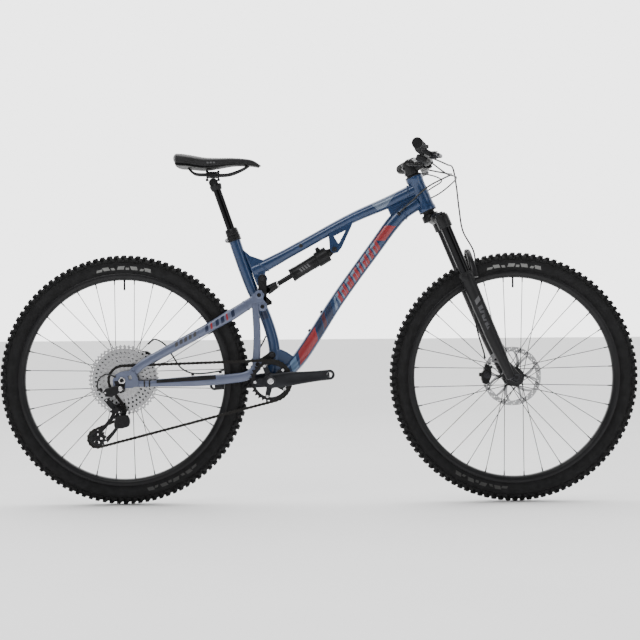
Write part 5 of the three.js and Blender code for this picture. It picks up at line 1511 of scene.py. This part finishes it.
def fork_legs():
    legs = Piece()
    marks, pale = Piece(), Piece()
    for side in (-1, 1):
        rows = [(0, 13.4), (0.10, 15), (0.28, 18.4), (0.40, 19.6), (0.70, 20), (0.955, 20.5), (0.957, 21.4),
                (0.994, 21.4), (1.0, 20.6)]
        low = head_point(AXLE_ALONG + 6, side * (LEG_Y + 3), LEG_FORWARD + 3)
        knee = head_point(AXLE_ALONG + 140, side * LEG_Y, LEG_FORWARD)
        top = head_point(LOWERS_TOP, side * LEG_Y, LEG_FORWARD)
        total = (top - low).length
        bend = (knee - low).length / total
        rings = []
        for t, r in rows:
            centre = low.lerp(knee, t / bend) if t < bend else knee.lerp(top, (t - bend) / (1 - bend))
            rings.append(ring_points(centre, HEAD_FORWARD, Y_AXIS, r, 48))
        bore = [ring_points(top + HEAD_AXIS * dz, HEAD_FORWARD, Y_AXIS, 16.5, 48) for dz in (0.2, -30)]
        legs.rings(rings + bore)
        foot = Piece()
        foot.skin(Tube([head_point(AXLE_ALONG + 46, side * (LEG_Y + 2), LEG_FORWARD + 4),
                        head_point(AXLE_ALONG + 20, side * (LEG_Y + 1), lerp(LEG_FORWARD, AXLE_FORWARD, 0.6)),
                        head_point(AXLE_ALONG, side * 62, AXLE_FORWARD)], [6.6, 6.6, 6.8], [15, 15.5, 14.5],
                       16, 0.8), 28)
        low_y, high_y = sorted((side * 55.4, side * 69))
        foot.lathe(FRONT, [(7.4, low_y), (14, low_y), (15, low_y + 1), (15, high_y - 1), (14, high_y),
                           (7.4, high_y)], 48)
        foot.finish(f"fork_dropout_{'left' if side > 0 else 'right'}", BLACK_PAINT, "fork_lowers", bevel=0.3)
        surface = Tube([low, knee, top], [14, 17.5, 19.6, 20, 20.5], [14, 17.5, 19.6, 20, 20.5], 40)
        facing = math.pi if side < 0 else 0.0
        for k, (t0, t1) in enumerate(((0.47, 0.50), (0.51, 0.545), (0.555, 0.575), (0.585, 0.62),
                                      (0.63, 0.655), (0.665, 0.70))):
            marks.patch(surface, t0, t1, facing - 0.36, facing + 0.36, 0.012 if k % 2 else -0.012, 0.45,
                        (6, 6))
        pale.patch(surface, 0.73, 0.775, facing - 0.42, facing + 0.42, 0.03, 0.5, (6, 6))
    legs.finish("fork_legs", BLACK_PAINT, "fork_lowers", "fork_lowers", smooth=45)
    marks.finish("fork_leg_marks", GRAPHIC_GREY, "fork_lowers")
    pale.finish("fork_leg_pale_marks", LABEL_GREY, "fork_lowers")


def fork_brace():
    arch = Piece()
    points = [(LOWERS_TOP - 16, -LEG_Y, 20), (LOWERS_TOP + 6, -60, 26), (ARCH_ALONG + 12, -47, 32),
              (ARCH_ALONG + 34, -22, 36), (ARCH_ALONG + 38, 0, 36), (ARCH_ALONG + 34, 22, 36),
              (ARCH_ALONG + 12, 47, 32), (LOWERS_TOP + 6, 60, 26), (LOWERS_TOP - 16, LEG_Y, 20)]
    arch.skin(Tube([head_point(a, y, LEG_FORWARD + f) for a, y, f in points],
                   [9, 8, 7.5, 7.5, 7.5, 7.5, 7.5, 8, 9], [12, 10, 8.5, 8, 8, 8, 8.5, 10, 12], 60, 0.75), 24)
    arch.finish("fork_brace", BLACK_PAINT, "fork_lowers")


def fork_ends():
    seals = Piece()
    for side in (-1, 1):
        seals.spin(head_point(LOWERS_TOP, side * LEG_Y, LEG_FORWARD), HEAD_AXIS,
                   [(16.3, 0), (20.6, 0), (21, 1), (20.2, 3), (18.6, 4), (18.2, 8), (17, 9.4), (16.3, 9.4)],
                   48, loop=True)
    seals.finish("fork_wiper_seals", GRIP_RUBBER, "fork_lowers", bevel=0.2)
    Piece().rod(at(FRONT, -72), at(FRONT, 72), 7.2, sides=32).finish("fork_through_axle", BLACK_ANODISED,
                                                                     "fork_lowers")
    ends = Piece()
    ends.bolt(FRONT, -69, -1, 10.5, 3.2)
    ends.bolt(FRONT, 69, 1, 9.0, 3.0)
    for side in (-1, 1):
        foot = head_point(AXLE_ALONG + 6, side * (LEG_Y + 3), LEG_FORWARD + 3)
        ends.spin(foot, -HEAD_AXIS, [(11.4, -1), (11.4, 2), (9, 4), (5, 4.6), (4.6, 9), (0.01, 9)], 28)
    ends.finish("fork_foot_bolts", GREY_ANODISED, "fork_lowers", bevel=0.2)


def front_caliper():
    outline = [(502, 412), (499, 402), (498, 392), (490, 384), (490, 366), (494, 352), (503, 349), (511, 351),
               (520, 372), (521, 386), (519, 398), (512, 408)]
    caliper("front_caliper", "fork_lowers", "front_brake_caliper", outline, 24, 54, FRONT, 39, (507, 377))
    bolts = Piece()
    for x, z in ((512, 402), (504, 356)):
        bolts.rod((x - 10, 50, z + 2), (x + 13, 53, z - 3), 3.6, sides=16, chamfer=0.5)
    bolts.finish("front_caliper_bolts", GREY_ANODISED, "fork_lowers")


fork_crown()
fork_legs()
fork_brace()
fork_ends()
front_caliper()


# ---- Cockpit ----
BAR_BEND = 160


def bar_at(y):
    """Handlebar centre at a distance across the bike; outside the bend it sweeps back and slightly down."""
    t = (abs(y) - BAR_BEND) / (BAR_HALF - BAR_BEND)
    return Vector((BAR_CLAMP[0] - 19 - 31 * t, y, BAR_CLAMP[1] + 18 - 3 * t))


def bar_axis(side):
    return (bar_at(side * BAR_HALF) - bar_at(side * 200)).normalized()


def handlebar():
    half = [at(BAR_CLAMP, 24), at(BAR_CLAMP, 60), Vector((BAR_CLAMP[0] - 8, 110, BAR_CLAMP[1] + 12))]
    half += [bar_at(y) for y in (BAR_BEND, 180, 240, 310, BAR_HALF)]
    spine = curve_points([(p.x, -p.y, p.z) for p in half[::-1]] + half, 90)
    rings = []
    for i, p in enumerate(spine):
        tangent, up = squared_up(spine, i, Z_AXIS)
        ahead = tangent.cross(up)
        far = min(max((abs(p.y) - 36) / 60, 0), 1)
        r = lerp(15.9, 11.1, far * far * (3 - 2 * far))
        rings.append(ring_points(p, ahead, up, r, 32))
    Piece().rings(rings).finish("handlebar_tube", BLACK_ANODISED, "fork_upper", "handlebar", smooth=60)


def stem():
    Piece().spin(head_point(HEAD_LENGTH + 6), HEAD_AXIS, [(14.6, 0), (19.4, 0), (20, 0.8), (20, 39),
                                                          (19.2, 40), (14.6, 40)], 48,
                 loop=True).finish("stem_steerer_clamp", BLACK_PAINT, "fork_upper", "stem", bevel=0.4)
    arm = Piece()
    start = head_point(HEAD_LENGTH + 25)
    end = at(BAR_CLAMP)
    direction = (end - start).normalized()
    arm.skin(Tube([start + direction * 4, start.lerp(end, 0.5), end - direction * 3], [16, 15, 21],
                  [17, 14.5, 15], 24, 0.7), 32)
    arm.finish("stem_arm", BLACK_PAINT, "fork_upper")
    face = Piece()
    up = Y_AXIS.cross(direction) * -1
    if up.z < 0:
        up = -up
    for y0, y1 in ((-23, -10), (10, 23)):
        for start_turn, stop_turn in ((math.radians(-84), math.radians(84)),
                                      (math.radians(96), math.radians(264))):
            outer = [end + direction * (21 * math.cos(a)) + up * (21 * math.sin(a))
                     for a in [lerp(start_turn, stop_turn, i / 16) for i in range(17)]]
            inner = [end + direction * (16.1 * math.cos(a)) + up * (16.1 * math.sin(a))
                     for a in [lerp(stop_turn, start_turn, i / 16) for i in range(17)]]
            face.prism([(p.x, p.z) for p in outer + inner], y0, y1)
    for tilt in (-1, 1):
        face.box(end + up * (20 * tilt) + direction * 2.0, (12, 46, 6), (direction, Y_AXIS, up))
    face.box(end + direction * 19.2, (3.4, 22, 26), (direction, Y_AXIS, up))
    face.finish("stem_face_plate", BLACK_PAINT, "fork_upper", bevel=0.9, segments=3)
    bolts = Piece()
    for tilt in (-1, 1):
        for y in (-17, 17):
            spot = end + up * (20 * tilt) + direction * 7.6 + Vector((0, y, 0))
            bolts.spin(spot, direction, [(4, 0), (4, 3.0), (3.4, 3.6), (2.0, 3.6), (1.8, 1.6), (0.01, 1.6)],
                       20)
    for along in (14, 34):
        spot = head_point(HEAD_LENGTH + along, 0, -18.5)
        bolts.rod(spot + Vector((0, -10, 0)), spot + Vector((0, 10, 0)), 4.2, sides=20, chamfer=0.5)
    bolts.finish("stem_bolts", GREY_ANODISED, "fork_upper", bevel=0.2)
    spacers = Piece()
    spacers.spin(head_point(HEAD_LENGTH + 5), HEAD_AXIS, [(14.6, 0), (18, 0), (18, 0.9), (14.6, 0.9)], 40,
                 loop=True)
    spacers.spin(head_point(HEAD_LENGTH + 46), HEAD_AXIS,
                 [(0.01, 0), (17.6, 0), (18, 0.6), (18, 2.6), (16.6, 4.6), (5.6, 5.2), (5, 3.6), (0.01, 3.6)],
                 40)
    spacers.finish("stem_top_cap", BLACK_ANODISED, "fork_upper", bevel=0.2)


def grips():
    for side, label in SIDES:
        axis = bar_axis(side)
        start = bar_at(side * 250)
        length = (bar_at(side * (BAR_HALF + 6)) - start).length
        profile = [(11.4, 2), (14.6, 2)]
        step = 4.0
        count = int((length - 16) / step)
        for k in range(count):
            here = 6 + k * step
            profile += [(14.9, here), (15.9, here + 0.7), (15.9, here + 2.2), (14.9, here + 2.9)]
        profile += [(15, length - 8), (15.8, length - 5), (15.4, length - 1), (11.4, length - 1)]
        grip = Piece().spin(start, axis, profile, 40, loop=True)
        grip.finish(f"grip_{label}_sleeve", GRIP_RUBBER, "fork_upper", f"grip_{label}", smooth=35)
        pads = Piece()
        u = Z_AXIS
        v = axis.cross(u).normalized()
        for row in range(12):
            for ring in range(16):
                turn = TURN * (ring + 0.5 * (row % 2)) / 16
                out = u * math.cos(turn) + v * math.sin(turn)
                spot = start + axis * (18 + row * 8.0) + out * 15.6
                pads.box(spot, (4.6, 3.6, 1.1), (axis, axis.cross(out), out))
        pads.finish(f"grip_{label}_pads", GRIP_RUBBER, "fork_upper", smooth=30, weld=False)
        lock = Piece()
        lock.spin(bar_at(side * 246), axis, [(11.3, 0), (17.2, 0), (18, 0.8), (18, 5.4), (17.2, 6.2),
                                             (11.3, 6.2)], 44, loop=True)
        lock.spin(bar_at(side * BAR_HALF), axis, [(0.01, 2.2), (11, 2.2), (15.6, 4), (15.2, 6), (0.01, 6.2)],
                  44)
        lock.finish(f"grip_{label}_lock_rings", BLACK_ANODISED, "fork_upper", bevel=0.2)


def lever_pivot(side):
    return bar_at(side * 224) + Vector((40, 0, -24))


POD_ROOT = bar_at(-190) + Vector((-2, 0, -28))
DROPPER_PIVOT = bar_at(188) + Vector((-4, 0, -29))


def masters():
    for side, label in SIDES:
        axis = bar_axis(side)
        body = Piece()
        body.spin(bar_at(side * 196), axis, [(11.4, 0), (15.4, 0), (16, 0.8), (16, 15.2), (15.4, 16),
                                             (11.4, 16)], 40, loop=True)
        root = bar_at(side * 204) + Vector((12, 0, -8))
        inner = root + Vector((20, side * -34, -8))
        outer = root + Vector((24, side * 14, -12))
        reach = (outer - inner).length
        body.spin(inner, outer - inner, [(0.01, -1), (7, -1), (9.4, 1), (10.4, 6), (11, 12), (11, reach - 3),
                                         (9.4, reach), (0.01, reach)], 36)
        body.finish(f"brake_master_{label}_body", BLACK_ANODISED, "fork_upper", f"brake_master_{label}",
                    bevel=0.3)
        arms = Piece()
        arms.skin(Tube([root - Vector((4, 0, -2)), root + Vector((10, side * -4, -4)),
                        root + Vector((20, side * -8, -9))], [9, 8, 9], [8, 7, 8], 14, 0.8), 24)
        arms.skin(Tube([outer + Vector((-2, side * -6, 0)), lever_pivot(side) + Vector((-4, side * -4, 4))],
                       [8, 7], [7, 6], 8, 0.8), 20)
        arms.box(bar_at(side * 204) + Vector((15, 0, 6)), (10, 13, 9), (X_AXIS, axis, Z_AXIS))
        arms.finish(f"brake_master_{label}_arms", BLACK_ANODISED, "fork_upper", bevel=0.6, segments=3)
        lid = Piece()
        middle = inner.lerp(outer, 0.45)
        lid.box(middle + Vector((2, 0, 10.4)), (17, 34, 3), (X_AXIS, (outer - inner).normalized(), Z_AXIS))
        lid.finish(f"brake_master_{label}_lid", MOULDED_PLASTIC, "fork_upper", bevel=1.0, segments=3)
        screws = Piece()
        for k in (-1, 1):
            spot = middle + (outer - inner).normalized() * (12 * k) + Vector((2, 0, 11.6))
            screws.spin(spot, Z_AXIS, [(2.2, 0), (2.2, 0.8), (1.0, 0.8), (0.9, 0.3), (0.01, 0.3)], 14)
        spot = bar_at(side * 204) + Vector((15, 0, 10))
        screws.spin(spot, Z_AXIS, [(3.2, 0), (3.2, 1.6), (1.6, 1.6), (1.5, 0.6), (0.01, 0.6)], 16)
        hose_end = inner + (inner - outer).normalized() * 1
        screws.spin(hose_end, inner - outer, [(4.4, -1), (4.4, 5), (3.4, 6), (3.4, 11), (0.01, 11)], 16)
        screws.finish(f"brake_master_{label}_screws", GREY_ANODISED, "fork_upper", bevel=0.1)
        lever(side, label)
    shifter()


def lever(side, label):
    pivot = lever_pivot(side)
    blade = Piece()
    points = [pivot, (pivot.x + 14, pivot.y + side * 24, pivot.z - 2),
              (pivot.x + 8, pivot.y + side * 56, pivot.z - 3),
              (pivot.x - 1, pivot.y + side * 84, pivot.z - 4),
              (pivot.x + 2, pivot.y + side * 96, pivot.z - 4)]
    spine = curve_points(points, 36)
    rings = []
    for i, p in enumerate(spine):
        tangent, up = squared_up(spine, i, Z_AXIS)
        across = tangent.cross(up)
        t = i / 36
        tall = sample([6, 5.4, 5.2, 6.2, 6.2, 5.0], t)
        deep = sample([6, 4.4, 3.6, 3.2, 3.2, 3.6], t)
        if i == 36:
            tall, deep = tall * 0.7, deep * 0.7
        rings.append([p + up * (math.sin(TURN * j / 20) * tall) + across * (math.cos(TURN * j / 20) * deep)
                      for j in range(20)])
    blade.rings(rings)
    blade.spin(pivot + Vector((0, 0, -6.4)), Z_AXIS, [(5.6, 0), (6.4, 0.6), (6.4, 12.2), (5.6, 12.8)], 28)
    blade.finish(f"brake_lever_{label}_blade", GREY_ANODISED, f"brake_lever_{label}", f"brake_lever_{label}",
                 smooth=50)
    pin = Piece()
    pin.spin(pivot + Vector((0, 0, 6.2)), Z_AXIS, [(3.4, 0), (3.4, 1), (1.6, 1), (1.5, 0.4), (0.01, 0.4)], 18)
    for k in range(3):
        spot = Vector((pivot.x + 3.5 - k * 3.2, pivot.y + side * (62 + 8 * k), pivot.z + 1.6))
        pin.spin(spot, Z_AXIS, [(2, 0), (2, 1.0), (0.01, 1.0)], 12)
    pin.finish(f"brake_lever_{label}_pin", BRIGHT_STEEL, f"brake_lever_{label}")


def paddle(root, side, body, name, node):
    part = Piece()
    part.spin(root + Vector((0, 0, -4)), Z_AXIS, [(5.4, 0), (6, 0.6), (6, 7.4), (5.4, 8)], 28)
    part.skin(Tube([root, (root.x - 18, root.y + side * 10, root.z - 3),
                    (root.x - 40, root.y + side * 24, root.z - 2)], [4, 6, 8, 8.6, 5], [3, 3, 3, 3, 2.2], 26,
                   0.7), 24)
    part.finish(name, MOULDED_PLASTIC, body, node, bevel=0.2)
    ribs = Piece()
    for k in range(5):
        t = 0.62 + 0.07 * k
        a = root.lerp(Vector((root.x - 40, root.y + side * 24, root.z - 2)), t)
        ribs.box(a + Vector((0, 0, 2.6)), (1.2, 9, 1.0), (Vector((0.86, side * -0.5, 0)),
                                                          Vector((side * 0.5, 0.86, 0)), Z_AXIS))
    ribs.finish(f"{name}_ribs", GRIP_RUBBER, body, bevel=0.2, segments=1)


def shifter():
    tilt = Matrix.Rotation(0.4, 3, "Y")
    axes = tuple(tilt @ axis for axis in AXES)
    Piece().box(POD_ROOT, (34, 26, 18), axes).finish("shifter_housing", MOULDED_PLASTIC, "fork_upper",
                                                     bevel=4.5, segments=4)
    trim = Piece()
    trim.rod(POD_ROOT, bar_at(-198) + Vector((0, 0, -12)), 8, 7, sides=24)
    trim.box(POD_ROOT + axes[2] * 9.4, (20, 16, 1.4), axes)
    trim.rod(POD_ROOT + Vector((14, 12, 0)), POD_ROOT + Vector((20, 17, 0)), 4.2, 3.2, sides=16, chamfer=0.4)
    trim.finish("shifter_trim", BLACK_ANODISED, "fork_upper", bevel=0.4)
    paddle(POD_ROOT + Vector((-3, 0, -15.5)), -1, "shift_lever", "shift_lever_paddle", "shift_lever")
    mount = Piece()
    axis = bar_axis(1)
    mount.spin(bar_at(180), axis, [(11.4, 0), (14.4, 0), (15, 0.6), (15, 9.4), (14.4, 10), (11.4, 10)], 40,
               loop=True)
    mount.rod(bar_at(186), DROPPER_PIVOT + Vector((0, 0, 5)), 7, 5, sides=24)
    mount.finish("dropper_lever_clamp", BLACK_ANODISED, "fork_upper", bevel=0.3)
    paddle(DROPPER_PIVOT, 1, "dropper_lever", "dropper_lever_paddle", "dropper_lever")


# ---- Saddle ----
POST_TOP = 178
SADDLE = [(-433, 46, 1046, 1020), (-420, 66, 1047, 1008), (-385, 70, 1042, 1004), (-340, 56, 1035, 999),
          (-300, 40, 1034, 1003), (-250, 27, 1034, 1010), (-200, 21, 1029, 1009), (-172, 12, 1015, 1004)]


def smooth_station(x):
    """Half-width, top and underside of the saddle at a place along it, by a smooth curve."""
    rows = sorted(SADDLE)
    for a, b in zip(rows, rows[1:]):
        if a[0] <= x <= b[0]:
            t = (x - a[0]) / (b[0] - a[0])
            i = rows.index(a)
            p0, p3 = rows[max(i - 1, 0)], rows[min(i + 2, len(rows) - 1)]
            out = []
            for k in (1, 2, 3):
                m1 = (b[k] - p0[k]) / max(b[0] - p0[0], 1) * (b[0] - a[0])
                m2 = (p3[k] - a[k]) / max(p3[0] - a[0], 1) * (b[0] - a[0])
                out.append((2 * t ** 3 - 3 * t ** 2 + 1) * a[k] + (t ** 3 - 2 * t ** 2 + t) * m1
                           + (-2 * t ** 3 + 3 * t ** 2) * b[k] + (t ** 3 - t ** 2) * m2)
            return out
    return list(rows[0][1:]) if x < rows[0][0] else list(rows[-1][1:])


def saddle():
    steps, around = 64, 40
    rings = []
    for i in range(steps + 1):
        u = i / steps
        x = lerp(-434, -170, u)
        half, high, low = smooth_station(x)
        end = min(u / 0.05, (1 - u) / 0.07, 1.0)
        round_off = math.sqrt(max(1 - (1 - end) ** 2, 0.02))
        half *= round_off
        middle = (high + low) / 2 + 1.0
        ring = []
        for j in range(around):
            turn = TURN * j / around
            c, s = math.cos(turn), math.sin(turn)
            across = half * signed_power(c, 0.78)
            if s >= 0:
                tall = (high - middle) * round_off * abs(s) ** 0.72
                channel = 2.4 * math.exp(-(across / 6.5) ** 2) * min(1,
                                                                     u / 0.12) * (1 if u < 0.82
                                                                                  else max(0,
                                                                                           (0.95 - u) / 0.13))
                pad = 1.4 * math.exp(-((abs(across) - 34) / 17) ** 2) * math.exp(-((u - 0.2) / 0.16) ** 2)
                z = middle + tall - channel + pad
            else:
                z = middle - (middle - low) * round_off * abs(s) ** 0.55 * 0.92
            ring.append(Vector((x, across, z)))
        rings.append(ring)
    cover = Piece().rings(rings).finish("saddle_pad", SADDLE_VINYL, "saddle", "saddle_cover", smooth=80,
                                        levels=1)


def saddle_trim():
    seams = Piece()
    for side in (-1, 1):
        line = []
        for i in range(41):
            x = lerp(-426, -178, i / 40)
            half, high, low = smooth_station(x)
            line.append(Vector((x, side * (half * 0.98 + 0.6), lerp(low, high, 0.34))))
        seams.rings([ring_points(p, Y_AXIS, Z_AXIS, 0.9, 8) for p in curve_points(line, 80)])
        inner = []
        for i in range(31):
            x = lerp(-405, -230, i / 30)
            half, high, low = smooth_station(x)
            inner.append(Vector((x, side * half * 0.62, high - 0.9)))
        tube = curve_points(inner, 70)
        for i in range(0, 69, 2):
            a, b = tube[i], tube[i + 1].lerp(tube[i], 0.3)
            seams.rod(a + Vector((0, 0, 0.2)), b + Vector((0, 0, 0.2)), 0.55, sides=6)
    seams.finish("saddle_seams", SADDLE_SHELL, "saddle", smooth=60, weld=False)
    shell = Piece()
    rows = []
    for i in range(41):
        x = lerp(-425, -176, i / 40)
        half, high, low = smooth_station(x)
        rows.append([Vector((x, half * 0.90 * k, low + 1.6 - 2.6 * (1 - k * k)))
                     for k in (-1, -.6, -.2, .2, .6, 1)] + [Vector((x, half * 0.90 * k, low + 4.6))
                                                            for k in (1, .6, .2, -.2, -.6, -1)])
    shell.rings(rows)
    shell.finish("saddle_base_shell", SADDLE_SHELL, "saddle", smooth=50)
    mark = Piece()
    for side in (-1, 1):
        for k in range(3):
            x = -330 + 9 * k
            rows = []
            for i in range(3):
                half, high, low = smooth_station(x + 3 * i)
                rows.append([Vector((x + 3 * i, side * (half + 0.7), lerp(low, high, 0.42 + 0.14 * j)))
                             for j in range(2)])
            mark.sheet(rows)
    mark.finish("saddle_side_marks", LABEL_GREY, "saddle")


def rails():
    wires = Piece()
    for side in (-1, 1):
        points = [(-392, side * 18, 1012), (-380, side * 21, 996), (-366, side * 22, 987),
                  (-330, side * 22, 985), (-270, side * 22, 984), (-225, side * 14, 1000),
                  (-196, side * 6, 1019)]
        wires.skin(Tube(points, 3.5, 3.5, 60), 20)
    wires.finish("saddle_rail_wires", BLACK_ANODISED, "saddle", "saddle_rails", smooth=60)
    sockets = Piece()
    for side in (-1, 1):
        sockets.box((-392, side * 18, 1014), (18, 11, 10))
    sockets.box((-197, 0, 1019), (16, 20, 8))
    sockets.finish("saddle_rail_sockets", SADDLE_SHELL, "saddle", bevel=2.0, segments=3)


def inner_post():
    Piece().rod(post_point(-30), post_point(POST_TOP - 10), 12.3,
                sides=48).finish("dropper_inner_tube", STANCHION_BLACK, "saddle", "dropper_inner", smooth=60)
    top = post_point(POST_TOP)
    head = Piece()
    head.spin(post_point(POST_TOP - 20), POST_DIR, [(12.2, 0), (15, 0), (16, 2), (18.6, 14), (17, 18),
                                                    (0.01, 18)], 40)
    centre = (top.x - 4, top.z + 3)
    head.lathe(centre, [(0.01, -15), (13, -15), (13.6, -14), (13.6, 14), (13, 15), (0.01, 15)], 40,
               loop=False)
    head.finish("seat_clamp_head", BLACK_ANODISED, "saddle", bevel=0.4)
    cradle = Piece()
    for side in (-1, 1):
        cradle.box((centre[0] - 2, side * 22, 989.6), (34, 13, 5))
        cradle.box((centre[0] - 2, side * 22, 979.4), (34, 13, 5))
    cradle.box((centre[0] - 2, 0, 990.5), (15, 46, 5))
    cradle.finish("seat_clamp_cradle", BLACK_ANODISED, "saddle", bevel=1.6, segments=3)
    bolts = Piece()
    for dx in (-19, 15):
        bolts.rod((centre[0] + dx, 0, 972), (centre[0] + dx, 0, 996), 3.0, sides=18)
        bolts.rod((centre[0] + dx, -5, 994), (centre[0] + dx, 5, 994), 4.2, sides=20, chamfer=0.5)
        bolts.rod((centre[0] + dx, 0, 966), (centre[0] + dx, 0, 972), 4.6, sides=20, chamfer=0.5)
    bolts.finish("seat_clamp_bolts", GREY_ANODISED, "saddle")


handlebar()
stem()
grips()
masters()
saddle()
saddle_trim()
rails()
inner_post()


# ---- Hoses and housings, along the CAD's own routes ----
HOSE_STEPS = 120
HOSE_SIDES = 14
FERRULE_LIP = 1.1


def hose(name, node, points, r, bodies, ends=()):
    """Round sheath through the points, with ferrules at its ends; it rides on its body when only one is
    given, and is left unparented otherwise.
    """
    spine = curve_points(points, HOSE_STEPS)
    rings = []
    up = Y_AXIS
    for i, p in enumerate(spine):
        tangent, up = squared_up(spine, i, up)
        side = tangent.cross(up)
        rings.append(ring_points(p, up, side, r, HOSE_SIDES))
    part = Piece().rings(rings)
    for at_start, length in ends:
        a, b = (spine[0], spine[3]) if at_start else (spine[-1], spine[-4])
        part.rod(a, a + (b - a).normalized() * length, r + FERRULE_LIP, r + 0.5, sides=HOSE_SIDES)
    if len(bodies) == 1:
        return part.finish(name, HOSE_SHEATH, bodies[0], node, smooth=60)
    obj = part.finish(name, HOSE_SHEATH, "", node, smooth=60, place=False)
    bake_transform(obj)
    return obj


def master_end(side):
    return lever_pivot(side) + Vector((-14, side * -46, 14))


def hoses():
    turning = ("frame", "fork_upper", (285, 0, 893), (392, 0, 980))
    hose("front_brake_line", "front_brake_hose", [master_end(-1) + Vector((8, 10, -12)), (380, -90, 1002),
                                                  (402, -30, 998), (417, 20, 950), (427, 40, 880),
                                                  (438, 42, 814), (470, 36, 750), (474, 38, 700),
                                                  (463, 41, 640), (478, 42, 520), (500, 41, 440),
                                                  (502, 42, 426)], 2.5,
         ("fork_upper", "fork_lowers", (427, 0, 880), (470, 0, 660)), ((True, 9), (False, 10)))
    hose("rear_brake_line_front", "rear_brake_hose_front",
         [master_end(1) + Vector((8, -10, -12)), (396, 90, 992), (404, 30, 984), (376, -20, 968),
          (328, -34, 942), (285, -32, 905), (243, -26.5, 866)], 2.5, turning, ((True, 9),))
    hose("shift_line_front", "shift_housing_front", [(POD_ROOT.x + 18, -176, POD_ROOT.z), (376, -120, 972),
                                                     (410, -55, 968), (400, 12, 952), (366, 36, 926),
                                                     (322, 38, 904), (285, 33, 882), (250, 26.5, 856)], 2.2,
         turning, ((True, 8),))
    hose("dropper_line", "dropper_housing",
         [(DROPPER_PIVOT.x + 2, 172, DROPPER_PIVOT.z - 2), (362, 110, 985), (376, 60, 966), (345, 36, 944),
          (312, 34, 922), (285, 31, 901), (264, 27, 885)], 2.2, turning, ((True, 8),))
    hose("rear_brake_line_rear", "rear_brake_hose_rear", [(-160, 22, 500), (-176, 40.5, 470), (-214, 50, 420),
                                                          (-300, 57, 395), (-385, 68, 388), (-420, 74, 404),
                                                          (-446, 80, 440), (-470, 78, 476), (-500, 66, 492),
                                                          (-519, 57, 478)], 2.5,
         ("frame", "rear_triangle", (-170, 0, 478), (-250, 0, 408)), ((False, 9),))
    hose("shift_line_rear", "shift_housing_rear",
         [(-600, -86, 384), (-628, -88, 392), (-650, -92, 376), (-652, -96, 352), (-639, -96, 340)], 2.2,
         ("rear_triangle",), ((True, 9), (False, 9)))
    Piece().box((463, 44.4, 640), (8, 6.6, 7)).finish("fork_hose_clips", MOULDED_PLASTIC, "fork_lowers",
                                                      bevel=1.2, segments=3)
    clips = Piece()
    for x, y, z in ((-300, 57, 395), (-385, 68, 388)):
        clips.box((x, y - 3, z - 3), (9, 12, 9))
    clips.finish("chainstay_hose_clips", MOULDED_PLASTIC, "rear_triangle", bevel=1.5, segments=3)


hoses()


# ---- Studio ----
FLOOR_REACH = 40.0
FLOOR_DROP = 0.0006
BRIGHT_SIDE = (0, 0.94, 0.34)
SKY_SPREAD = 0.85
SKY_DIM, SKY_BRIGHT = 0.16, 3.6
# Name, place, aim, size and watts
LAMPS = (("key", (-1.6, -3.2, 3.4), (0, 0, 0.5), (2.6, 1.4), 75),
         ("fill", (2.8, -2.6, 1.7), (0.1, 0, 0.5), (1.6, 2.2), 22),
         ("top", (0.2, 0.4, 3.6), (0, 0, 0.4), (3.4, 1.6), 38),
         ("back", (-0.4, 3.4, 2.2), (0, 0, 0.6), (2.8, 1.4), 10))


def area_light(name, spot, aim, size, power):
    data = bpy.data.lights.new(name, "AREA")
    data.shape = "RECTANGLE"
    data.size, data.size_y = size
    data.energy = power
    lamp = bpy.data.objects.new(name, data)
    bpy.context.scene.collection.objects.link(lamp)
    lamp.location = spot
    lamp.rotation_euler = (Vector(aim) - Vector(spot)).to_track_quat("-Z", "Y").to_euler()


def studio():
    mesh = bpy.data.meshes.new("studio_floor")
    mesh.from_pydata([(x * FLOOR_REACH, y * FLOOR_REACH, 0) for x, y in ((-1, -1), (1, -1), (1, 1), (-1, 1))],
                     [], [[0, 1, 2, 3]])
    mesh.materials.append(FLOOR)
    floor = bpy.data.objects.new("studio_floor", mesh)
    floor.location.z = -FLOOR_DROP
    bpy.context.scene.collection.objects.link(floor)
    world = bpy.data.worlds.new("studio_world")
    bpy.context.scene.world = world
    world.use_nodes = True
    nodes, links = world.node_tree.nodes, world.node_tree.links
    background = nodes["Background"]
    background.inputs["Color"].default_value = (1, 1, 1, 1)
    direction = nodes.new("ShaderNodeTexCoord")
    split = nodes.new("ShaderNodeVectorMath")
    split.operation = "DOT_PRODUCT"
    split.inputs[1].default_value = BRIGHT_SIDE
    links.new(direction.outputs["Generated"], split.inputs[0])
    strength = nodes.new("ShaderNodeMapRange")
    for socket, value in (("From Min", 0.0), ("From Max", SKY_SPREAD), ("To Min", SKY_DIM),
                          ("To Max", SKY_BRIGHT)):
        strength.inputs[socket].default_value = value
    links.new(split.outputs["Value"], strength.inputs["Value"])
    links.new(strength.outputs["Result"], background.inputs["Strength"])
    for lamp in LAMPS:
        area_light(*lamp)


CAMERA_DISTANCE = 4.7
CAMERA_HEIGHT = 0.547
CAMERA_ASIDE = -0.03
AIM_X = 0.003
LENS = 88.1
ROLL = math.radians(-0.443)


def camera():
    data = bpy.data.cameras.new("photo_camera")
    data.lens = LENS
    data.sensor_width = 36
    obj = bpy.data.objects.new("photo_camera", data)
    bpy.context.scene.collection.objects.link(obj)
    yaw = -math.atan((AIM_X - CAMERA_ASIDE) / CAMERA_DISTANCE)
    turn = Matrix.Rotation(yaw, 4, "Z") @ Matrix.Rotation(math.pi / 2, 4, "X") @ Matrix.Rotation(ROLL, 4, "Z")
    obj.matrix_world = Matrix.Translation((CAMERA_ASIDE, -CAMERA_DISTANCE, CAMERA_HEIGHT)) @ turn
    bpy.context.scene.camera = obj


studio()
camera()
